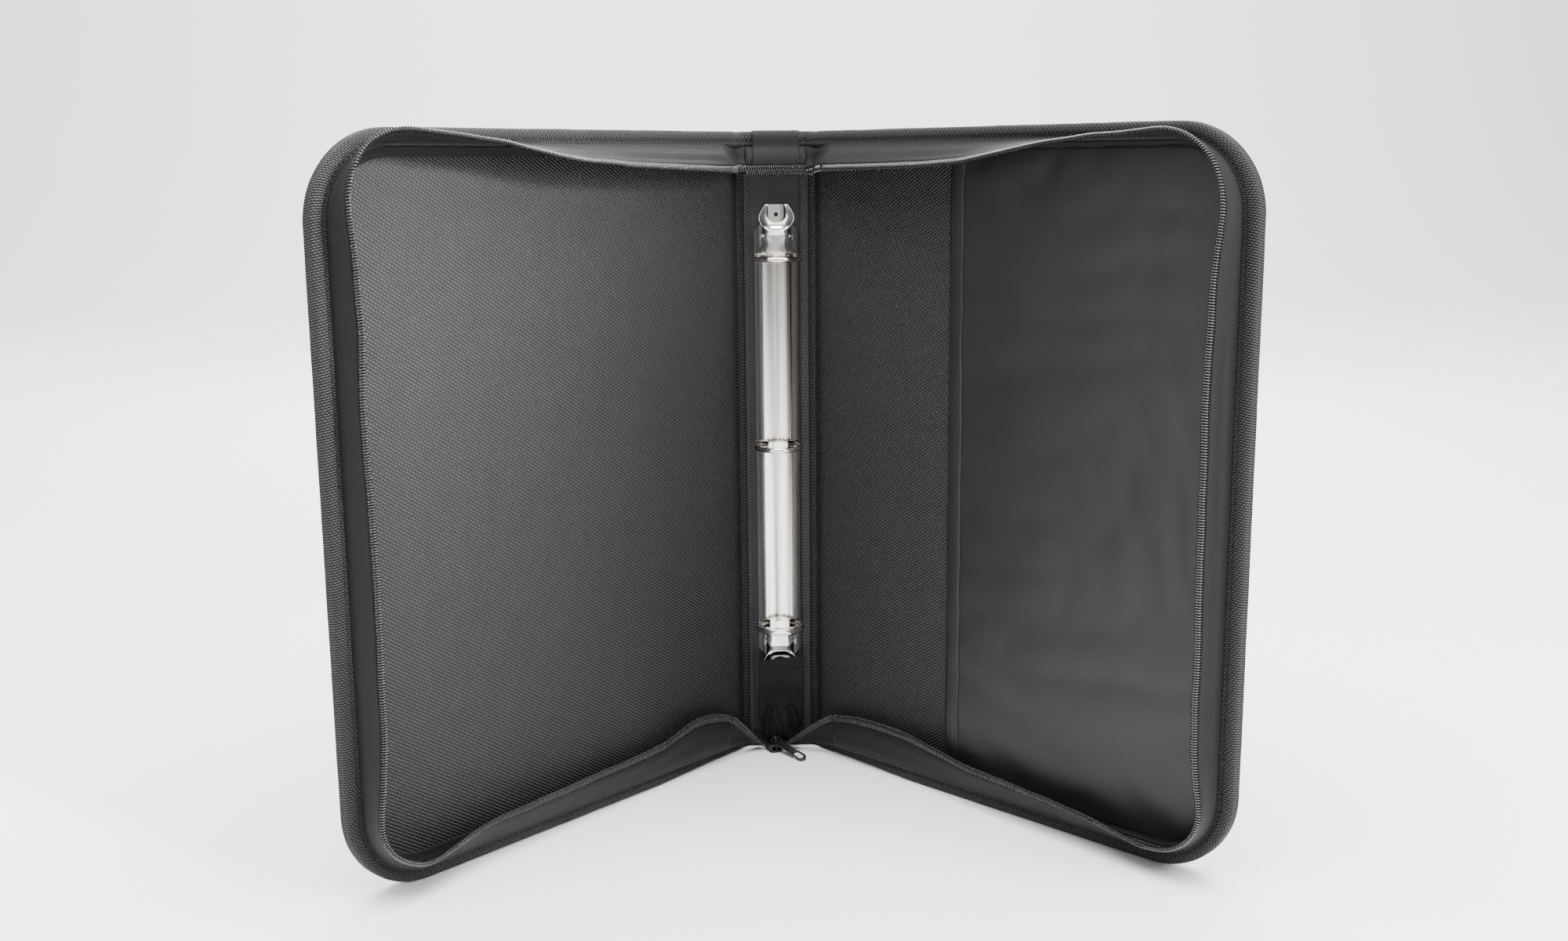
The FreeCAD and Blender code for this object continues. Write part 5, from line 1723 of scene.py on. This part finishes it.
    def run_between(self, half: ZipHalf, name: str, seam_line: Points, edge_line: Points) -> None:
        """A tape between two lines with its coil along the second, bent across the hinge.

        Args:
            half: The zip half.
            name: The run's name.
            seam_line: Where the tape is sewn, from the spine to the cover.
            edge_line: Where its coil runs.
        """
        share = np.linspace(0, 1, 9)[None, :, None]
        across = edge_line - seam_line
        unit = across / np.linalg.norm(across, axis=1, keepdims=True)
        rim = edge_line - unit * 1.8 * MM
        grid = seam_line[:, None] * (1 - share) + rim[:, None] * share
        steps = np.concatenate([[0], np.cumsum(np.linalg.norm(np.diff(edge_line, axis=0), axis=1))])
        wide = float(np.mean(np.linalg.norm(rim - seam_line, axis=1)))
        uv = np.stack(np.meshgrid(steps, np.linspace(0, wide, 9), indexing="ij"), axis=-1)
        tape = cloth_shell(f"{name}_tape_run", grid, uv, 0.6 * MM, self.looks.tape)
        coil = make_piece(f"{name}_coil_run", *wind_coil(edge_line, unit, half), self.looks.coil)
        for piece, slot in ((tape, "zip_tape"), (coil, "zip_coil")):
            self.bend_run(half, piece)
        cut = float(np.sum(np.linalg.norm(np.diff((grid[:, 0] + grid[:, -1]) / 2, axis=0), axis=1)))
        declare_sheet(tape, cut, max(wide, LEAST_SHEET), "hung", "spine_upper_roll")

    def bend_run(self, half: ZipHalf, piece: bpy.types.Object) -> None:
        """Bake a run's piece, which lies from the spine to its cover, into place."""
        walls, sign = self.walls, half.side.value
        end = Vector(walls.on_cover(half.side, half.start - 1 * MM, 0.0, 14 * MM).tolist())
        bend_piece(piece, f"{half.side.word}_cover")


# ---------------------------------------------------------------- tab, slider and pull


@dataclass
class ZipTab:
    """The hemmed cloth tab sewn over the zip's lower end, standing in front of the ring plate."""

    walls: Walls
    looks: Finishes
    half: float = 13.2 * MM
    low_half: float = 8.6 * MM
    low: float = 6.4 * MM
    top: float = 59.0 * MM
    slant: float = 1.4 * MM
    thick: float = 1.2 * MM

    def depth_at(self, height: Points) -> Points:
        """Depth of the tab's middle face at a height."""
        places = np.array([6.0, 12.0, 22.0, 33.0, 42.0, 48.0, 60.0]) * MM
        depths = np.array([5.9, 6.3, 7.3, 9.3, 14.6, 17.6, 18.3]) * MM
        return np.interp(height, places, depths)

    def spot(self, across: Points, height: Points) -> Points:
        """A point of the tab.

        Args:
            across: From -1, left edge, to 1, right edge.
            height: Heights above the floor at the middle.

        Returns:
            The points in the row frame.
        """
        narrow = ease((height - self.low) / (12 * MM))
        half = self.low_half + (self.half - self.low_half) * narrow
        up = ease((height - 30 * MM) / (25 * MM))
        rise = height + self.slant * across * up
        smooth = sum(self.depth_at(height + step * MM) for step in (-3, -1.5, 0, 1.5, 3)) / 5
        crown = 1.4 * MM * (1 - across ** 2) * ease((height - 26 * MM) / (14 * MM))
        folds = (1.1 * MM * np.sin(across * 7.5 + height / MM * 0.16)
                 * (1 - ease((height - 16 * MM) / (20 * MM))))
        return self.walls.on_spine(across * half, rise, smooth - crown * 0.5 + np.abs(folds))

    def build(self) -> None:
        """Make the tab, its top hem with stitches, and the ribbon loops at its foot."""
        across, height = np.meshgrid(np.linspace(-1, 1, 26), np.linspace(self.low, self.top, 56),
                                     indexing="ij")
        uv = np.stack([height, across * self.half], axis=-1)
        tab = cloth_shell("zip_tab_cloth", self.spot(across, height), uv, self.thick, self.looks.ribbon)
        finish_piece(tab, "spine", "binding_ribbon", "zip_end_tab")
        declare_sheet(tab, 2 * self.half, self.top - self.low + 5 * MM, "hung", "ring_plate",
                      area=1.7 * self.half * (self.top - self.low + 5 * MM))
        across, height = np.meshgrid(np.linspace(-0.985, 0.985, 26),
                                     np.linspace(self.top - 5.2 * MM, self.top + 0.3 * MM, 9), indexing="ij")
        grid = self.spot(across, height)
        share = (height - height.min()) / (height.max() - height.min())
        grid[..., 1] -= 0.55 * MM + 0.5 * MM * np.sin(math.pi * share)
        hem = cloth_shell("zip_tab_hem", grid, np.stack([height, across * self.half], axis=-1), 0.6 * MM,
                          self.looks.ribbon)
        finish_piece(hem, "spine", "binding_ribbon")
        declare_sheet(hem, 2 * self.half, LEAST_SHEET, "folded", "zip_tab_cloth",
                      area=2 * self.half * 5.5 * MM)
        self.build_stitches()
        self.build_loops()

    def build_stitches(self) -> None:
        """A row of stitches along the hem and down both sides."""
        lines = []
        for place in np.arange(-0.9, 0.9, 0.22):
            across = place + np.array([0.0, 0.03, 0.12, 0.15])
            line = self.spot(across, np.full(4, self.top - 4.3 * MM))
            line[:, 1] -= np.array([0.9, 1.35, 1.35, 0.9]) * MM
            lines.append(line)
        for edge in (-0.9, 0.9):
            for low in np.arange(self.low + 14 * MM, self.top - 7 * MM, 3.0 * MM):
                rise = low + np.array([0.0, 0.4, 1.7, 2.1]) * MM
                line = self.spot(np.full(4, edge), rise)
                line[:, 1] -= np.array([0.4, 0.78, 0.78, 0.4]) * MM
                lines.append(line)
        sewn = many_tubes("zip_tab_stitches", lines, 0.17 * MM, self.looks.thread, 6)
        finish_piece(sewn, "spine", "binding_ribbon")

    def build_loops(self) -> None:
        """Two ends of ribbon that curl down beside the slider."""
        for side in Side:
            sign = side.value
            share = np.linspace(0, 1, 26)
            x = sign * (4.2 + 5.2 * np.sin(share * 2.6) - 2.2 * share) * MM
            height = (27.0 - 20.5 * share) * MM
            depth = (9.4 + 1.9 * np.sin(share * math.pi) - 1.2 * share) * MM
            middle = self.walls.on_spine(x, height, depth)
            wide = np.linspace(-2.6 * MM, 2.6 * MM, 7)
            twist = 0.5 + 0.7 * np.sin(share * 3.0)
            offset = np.stack([sign * np.cos(twist), -np.sin(twist), 0.25 * np.sin(share * 4)], axis=-1)
            grid = middle[:, None] + wide[None, :, None] * offset[:, None]
            uv = np.stack(np.meshgrid(share * 26 * MM, wide, indexing="ij"), axis=-1)
            loop = cloth_shell(f"{side.word}_tab_ribbon_end", grid, uv, 0.6 * MM, self.looks.ribbon)
            finish_piece(loop, "spine", "binding_ribbon")
            length = float(np.linalg.norm(np.diff(middle, axis=0), axis=1).sum())
            declare_sheet(loop, float(wide[-1] - wide[0]), length, "hung", "zip_tab_cloth")


@dataclass
class SliderSet:
    """The slider, its bridge and its pull, in black enamel."""

    looks: Finishes
    long: float = 10.4 * MM
    wide: float = 8.8 * MM
    plate: float = 1.2 * MM
    pull_long: float = 27.0 * MM
    pull_thick: float = 1.3 * MM
    pull_lean: float = 20.0

    def place_of(self, name: str, low_share: float = 0.5) -> Vector:
        """The middle of a node's box, at a share of its height."""
        low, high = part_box(name)
        return Vector(((low.x + high.x) / 2, (low.y + high.y) / 2, low.z + (high.z - low.z) * low_share))

    def heading(self) -> Matrix:
        """The slider's turn about the vertical, from the direction that it runs in."""
        axis = joint_value("slider_run", "axis")
        return Matrix.Rotation(math.atan2(axis[1], axis[0]), 4, "Z")

    def outline(self) -> list[tuple[float, float]]:
        """A slider plate: broad shoulders at its front and a narrower, rounded tail."""
        points = []
        for step in range(40):
            angle = 2 * math.pi * step / 40
            x = self.long / 2 * math.copysign(abs(math.cos(angle)) ** 0.6, math.cos(angle))
            wide = self.wide / 2 * (0.80 + 0.20 * float(ease(np.array((x / self.long) + 0.6))))
            y = wide * math.copysign(abs(math.sin(angle)) ** 0.55, math.sin(angle))
            points.append((x, y))
        return points

    def build(self) -> None:
        """Make the slider's body, its bridge and the pull."""
        low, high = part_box("zip_slider")
        spot = self.place_of("zip_slider")
        turn = self.heading()
        joined = []
        for name, height in (("base", low.z + self.plate / 2), ("lid", high.z - self.plate / 2)):
            place = Matrix.Translation((spot.x, spot.y, height)) @ turn
            joined.append(flat_plate(f"slider_{name}", [self.outline()], self.plate, 0.35 * MM,
                                     self.looks.enamel, place))
        tall = high.z - low.z - 2 * self.plate + 0.4 * MM
        for name, y in (("left", self.wide / 2 - 0.9 * MM), ("right", -self.wide / 2 + 0.9 * MM)):
            place = Matrix.Translation(spot) @ turn @ Matrix.Translation((-0.3 * MM, y * 0.93, 0))
            joined.append(flat_plate(f"slider_flange_{name}", [oval(self.long * 0.78, 1.1 * MM)],
                                     tall, 0.2 * MM,
                                     self.looks.enamel, place))
        place = Matrix.Translation(spot) @ turn @ Matrix.Translation((self.long / 2 - 2.4 * MM, 0, 0))
        joined.append(flat_plate("slider_wedge", [oval(3.4 * MM, 2.0 * MM)], tall, 0.2 * MM,
                                 self.looks.enamel,
                                 place))
        body = self.join("slider_body", joined)
        finish_piece(body, "zip_slider", "blackened_metal", "zip_slider")
        self.build_bridge(turn)
        self.build_pull()

    def join(self, name: str, parts: Sequence[bpy.types.Object]) -> bpy.types.Object:
        """Join several pieces into one mesh object."""
        work = bmesh.new()
        for part in parts:
            work.from_mesh(part.data)
        mesh = bpy.data.meshes.new(name)
        work.to_mesh(mesh)
        work.free()
        mesh.materials.append(parts[0].data.materials[0])
        for part in parts:
            bpy.data.objects.remove(part)
        mesh.polygons.foreach_set("use_smooth", [True] * len(mesh.polygons))
        piece = bpy.data.objects.new(name, mesh)
        bpy.context.scene.collection.objects.link(piece)
        return piece

    def build_bridge(self, turn: Matrix) -> None:
        """The arched bridge on the lid."""
        low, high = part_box("slider_bridge")
        spot = self.place_of("slider_bridge", 0.0)
        span, rise = 7.4 * MM, high.z - low.z
        rings = []
        for step in np.linspace(0, 1, 30):
            x = -span / 2 + span * step
            lift = rise * (1 - abs(2 * step - 1) ** 4.0) - 0.55 * MM
            centre = Vector((x, 0, max(lift, -0.2 * MM)))
            slope = 4 * abs(2 * step - 1) ** 3.0 * rise * 2 * (1 if step < 0.5 else -1) / span
            up = Vector((-slope, 0, 1)).normalized()
            ring = []
            for angle in np.linspace(0, 2 * math.pi, 14, endpoint=False):
                side = 0.95 * MM * math.copysign(abs(math.cos(angle)) ** 0.7, math.cos(angle))
                tall = 0.6 * MM * math.copysign(abs(math.sin(angle)) ** 0.7, math.sin(angle))
                ring.append(Matrix.Translation(spot) @ turn @ (centre + Vector((0, side, 0)) + up * tall))
            rings.append(ring)
        bridge = ring_sweep("slider_arch", np.array([[tuple(p) for p in r] for r in rings]),
                            self.looks.enamel)
        finish_piece(bridge, "zip_slider", "blackened_metal", "slider_bridge")

    def build_pull(self) -> None:
        """The pull: a tongue with a window at the bridge, a ridge and an oval hole at its end."""
        pivot = Vector(joint_value("pull_lift", "pos_m"))
        axis = Vector(joint_value("pull_lift", "axis")).normalized()
        reach = self.place_of("pull_tab") - pivot
        along = reach - axis * reach.dot(axis)
        along.normalize()
        across = axis
        normal = along.cross(across)
        place = Matrix((along, across, normal)).transposed().to_4x4()
        place.translation = pivot
        place = place @ Matrix.Rotation(math.radians(self.pull_lean), 4, "X")
        root, tip = 2.9 * MM, 2.9 * MM
        outline = [(-1.0 * MM, -root * 0.8), (-0.4 * MM, -root), (5.5 * MM, -root), (8.0 * MM, -2.3 * MM),
                   (self.pull_long * 0.62, -2.35 * MM)]
        for step in range(13):
            angle = -math.pi / 2 + math.pi * step / 12
            outline.append((self.pull_long - tip + tip * math.cos(angle), tip * math.sin(angle)))
        outline += [(x, -y) for x, y in reversed(outline[:5])]
        window = oval(4.4 * MM, 3.6 * MM, (2.7 * MM, 0.0))
        hole = oval(6.6 * MM, 3.5 * MM, (self.pull_long - 5.1 * MM, 0.0))
        plate = flat_plate("pull_plate", [outline, window[::-1], hole[::-1]], self.pull_thick, 0.35 * MM,
                           self.looks.enamel, place)
        ridge_place = place @ Matrix.Translation((12.6 * MM, 0, self.pull_thick / 2 - 0.1 * MM))
        ridge = flat_plate("pull_ridge", [oval(8.0 * MM, 2.2 * MM)], 0.6 * MM, 0.22 * MM, self.looks.enamel,
                           ridge_place)
        pull = self.join("pull_tongue", [plate, ridge])
        finish_piece(pull, "pull_tab", "blackened_metal", "pull_tab")


# ---------------------------------------------------------------- ring mechanism


@dataclass
class Mechanism:
    """The ring mechanism: carried-over metal parts and the pressed levers."""

    walls: Walls
    looks: Finishes
    sheet: float = 0.9 * MM

    def build(self) -> None:
        """Dress the metal parts and make the two levers."""
        nodes = frame["nodes"]
        metal = ["ring_plate", "plate_studs", "mounting_eyelets", "lever_pins", "left_blade", "right_blade"]
        metal += [f"{side.word}_{place}_ring" for side in Side for place in ("bottom", "middle", "top")]
        for name in metal:
            node = nodes[name]
            node.data.materials.clear()
            # The plate and blades take the nickel whose colour carries streaked painted reflections.
            reflection_streaks = name in ("ring_plate", "left_blade", "right_blade")
            node.data.materials.append(self.looks.nickel if reflection_streaks else self.looks.polished)
        for name in metal:
            self.smooth_metal(nodes[name])
        middle = joint_value("ring_opening", "pos_m")[2]
        for name, sign in (("top_lever", 1.0), ("bottom_lever", -1.0)):
            self.build_lever(name, middle, sign)

    def smooth_metal(self, node: bpy.types.Object) -> None:
        """Shade a carried-over node smooth, with its real edges kept sharp."""
        node.data.polygons.foreach_set("use_smooth", [True] * len(node.data.polygons))
        node.data.set_sharp_from_angle(angle=math.radians(28))

    def lever_width(self, along: float) -> float:
        """Half the lever's width at a distance from the middle of the mechanism, in millimetres."""
        places = (111.0, 113.4, 115.5, 117.7, 119.5, 121.2, 122.6, 124.0, 125.5, 127.2, 129.2, 131.0, 132.6,
                  134.8, 136.6, 138.2)
        widths = (12.0, 11.2, 10.2, 9.0, 7.8, 6.7, 6.2, 6.4, 7.3, 8.7, 9.7, 9.9, 9.6, 8.5, 7.4, 6.4)
        return float(np.interp(along, places, widths))

    def notch_width(self, along: float) -> float:
        """Half the width of the fork's opening at a distance from the middle, in millimetres."""
        start, round_end = 127.9, 132.4
        if along <= start:
            return 0.0
        if along < round_end:
            share = (round_end - along) / (round_end - start)
            return 5.2 * math.sqrt(max(0.0, 1 - share ** 2))
        return float(np.interp(along, (132.4, 135.5, 138.2), (5.2, 5.3, 4.4)))

    def lever_rise(self, along: float, across: float) -> float:
        """Height of the lever's outer face above the lining, in millimetres."""
        base = float(np.interp(along, (111.0, 121.5, 125.0, 130.0, 138.2), (7.75, 7.9, 9.6, 11.6, 12.4)))
        half = self.lever_width(along)
        share = min(1.0, abs(across) / half)
        head = float(ease(np.array((along - 123.6) / 3.4)))
        skirt = float(ease(np.array((121.5 - along) / 7.0)))
        drop = (3.4 * skirt + 1.6) * (1 - head) * share ** 2.4
        dish = 3.1 * head * (1 - share ** 2.2) * float(np.interp(along, (133.0, 138.2), (1.0, 0.4)))
        return base - drop - dish

    def build_lever(self, name: str, middle: float, sign: float) -> None:
        """A lever pressed from sheet: skirt, fluted neck, cup and two horns.

        Args:
            name: The lever's node and body.
            middle: Height of the mechanism's middle.
            sign: 1 for the top lever, -1 for the bottom one.
        """
        rows = np.concatenate([np.linspace(111.0, 127.6, 26), np.linspace(127.95, 138.2, 30)])
        columns = 11
        points, faces = [], []
        for half in (-1, 1):
            start = len(points)
            for along in rows:
                inner, outer = self.notch_width(along), self.lever_width(along)
                for step in np.linspace(0, 1, columns):
                    across = inner + (outer - inner) * step
                    rise = self.lever_rise(along, across)
                    points.append((half * across * MM, self.walls.back - self.walls.depth - rise * MM,
                                   middle + sign * along * MM))
            faces += grid_faces(len(rows), columns, start, flip=half > 0)
        mesh = bpy.data.meshes.new(name + "_pressing")
        mesh.from_pydata(points, [], faces)
        work = bmesh.new()
        work.from_mesh(mesh)
        bmesh.ops.remove_doubles(work, verts=work.verts, dist=0.02 * MM)
        bmesh.ops.recalc_face_normals(work, faces=work.faces)
        facing = sum((f.normal.y for f in work.faces), 0.0)
        if facing > 0:
            bmesh.ops.reverse_faces(work, faces=work.faces)
        work.to_mesh(mesh)
        work.free()
        mesh.polygons.foreach_set("use_smooth", [True] * len(mesh.polygons))
        mesh.materials.append(self.looks.polished)
        lever = bpy.data.objects.new(name + "_pressing", mesh)
        bpy.context.scene.collection.objects.link(lever)
        body = lever.modifiers.new("sheet", "SOLIDIFY")
        body.thickness = self.sheet
        body.offset = -1.0
        soft_edges(lever, 0.22 * MM)
        finish_piece(lever, name, "nickel", name)


# ---------------------------------------------------------------- stage


@dataclass
class Studio:
    """The pale floor, the soft lights and the camera."""

    walls: Walls
    lens: float = 36.8
    azimuth: float = 1.9
    pitch: float = 10.77
    roll: float = 0.51
    eye: tuple[float, float, float] = (-0.0273, -0.9295, 0.346)

    def build(self) -> None:
        """Make everything that isn't part of the object."""
        self.build_floor()
        self.build_lights()
        self.build_camera()

    def build_floor(self) -> None:
        """A white floor that curves up into a backdrop far behind."""
        shader = Shader("studio_paper")
        tone = shader.noise(3, 2)
        paper = shader.done(shader.ramp(tone, (0.955, 0.955, 0.955), (0.975, 0.975, 0.975)), 0.9,
                            specular=0.1)
        profile = [(-6.0, 0.0), (3.0, 0.0)]
        profile += [(3.0 + 1.6 * math.sin(a), 1.6 - 1.6 * math.cos(a))
                    for a in np.linspace(0.1, math.pi / 2, 12)]
        profile.append((4.6, 6.0))
        points = [(x, y, z - 0.05 * MM) for x in (-8.0, 8.0) for y, z in profile]
        count = len(profile)
        faces = [(i, i + 1, count + i + 1, count + i) for i in range(count - 1)]
        floor = make_piece("studio_floor", np.array(points), faces, paper)

    def add_area(self, name: str, place: tuple[float, float, float], aim: tuple[float, float, float],
                 size: tuple[float, float], power: float, spread: float = 180.0) -> None:
        """One soft rectangular light.

        Args:
            name: The light's name.
            place: Where it stands.
            aim: What it faces.
            size: Its two sides.
            power: Its power in watts.
            spread: Angle of its beam in degrees, narrow where a grid stands before it.
        """
        data = bpy.data.lights.new(name, "AREA")
        data.spread = math.radians(spread)
        data.shape = "RECTANGLE"
        data.size, data.size_y = size
        data.energy = power
        lamp = bpy.data.objects.new(name, data)
        lamp.location = place
        lamp.rotation_euler = (Vector(aim) - Vector(place)).to_track_quat("-Z", "Y").to_euler()
        bpy.context.scene.collection.objects.link(lamp)

    def build_lights(self) -> None:
        """Soft light from above, both sides and behind, on an even white surround."""
        world = bpy.data.worlds.new("studio_air")
        world.use_nodes = True
        world.node_tree.nodes["Background"].inputs["Color"].default_value = (1, 1, 1, 1)
        world.node_tree.nodes["Background"].inputs["Strength"].default_value = 0.62
        bpy.context.scene.world = world
        self.add_area("overhead", (0.0, -0.3, 1.9), (0, 0, 0.1), (2.4, 1.6), 150)
        self.add_area("left_front", (-1.5, -0.75, 0.7), (0.05, 0, 0.2), (0.8, 1.0), 3)
        self.add_area("right_front", (1.5, -0.55, 0.75), (-0.15, 0, 0.24), (0.8, 0.8), 34)
        self.add_area("upper_left", (0.75, -0.75, 0.95), (-0.195, -0.075, 0.315), (0.25, 0.25), 1.05, 17.0)
        self.add_area("backdrop", (0.0, 1.7, 2.2), (0, 4.2, 0.9), (3.2, 0.8), 210)
        self.add_area("rim", (0.2, 1.6, 1.3), (0, 0, 0.3), (2.2, 0.7), 55)

    def build_camera(self) -> None:
        """The camera at the usual three-quarter height before the open case."""
        data = bpy.data.cameras.new("studio_camera")
        data.lens = self.lens
        data.sensor_width = 36.0
        camera = bpy.data.objects.new("studio_camera", data)
        bpy.context.scene.collection.objects.link(camera)
        camera.location = (self.eye[0], self.walls.back + self.eye[1], self.eye[2])
        turn = (Matrix.Rotation(-math.radians(self.azimuth), 4, "Z")
                @ Matrix.Rotation(math.radians(90 - self.pitch), 4, "X")
                @ Matrix.Rotation(-math.radians(self.roll), 4, "Z"))
        camera.rotation_euler = turn.to_euler()
        bpy.context.scene.camera = camera


# ---------------------------------------------------------------- the case


class PortfolioCase:
    """The whole case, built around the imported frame."""

    def __init__(self) -> None:
        """Read the sizes and make the finishes."""
        self.walls = Walls()
        self.looks = Finishes()

    def build(self) -> None:
        """Build every sub-assembly in order."""
        halves = {side: ZipHalf(self.walls, side, self.looks) for side in Side}
        for side in Side:
            CoverPanels(self.walls, side, self.looks).build()
            CoverEdge(self.walls, side, self.looks).build()
            halves[side].build()
            Hinges(self.walls, side, self.looks).build()
        Pocket(self.walls, self.looks).build()
        Spine(self.walls, self.looks).build()
        ZipEnds(self.walls, self.looks, halves[Side.LEFT], halves[Side.RIGHT]).build()
        ZipTab(self.walls, self.looks).build()
        SliderSet(self.looks).build()
        Mechanism(self.walls, self.looks).build()
        self.dress_hidden()

    def dress_hidden(self) -> None:
        """Give the nodes inside the walls and the tail of the chain their own finish."""
        for name in ("left_board", "right_board", "spine_board"):
            node = frame["nodes"][name]
            node.data.materials.clear()
            node.data.materials.append(self.looks.board)
        node = frame["nodes"]["zip_tail_chain"]
        node.data.materials.clear()
        node.data.materials.append(self.looks.coil)


def main() -> None:
    """Build the case and its stage."""
    logging.basicConfig(level=logging.INFO, format="%(message)s")
    case = PortfolioCase()
    case.build()
    Studio(case.walls).build()


if __name__ == "__main__":
    main()
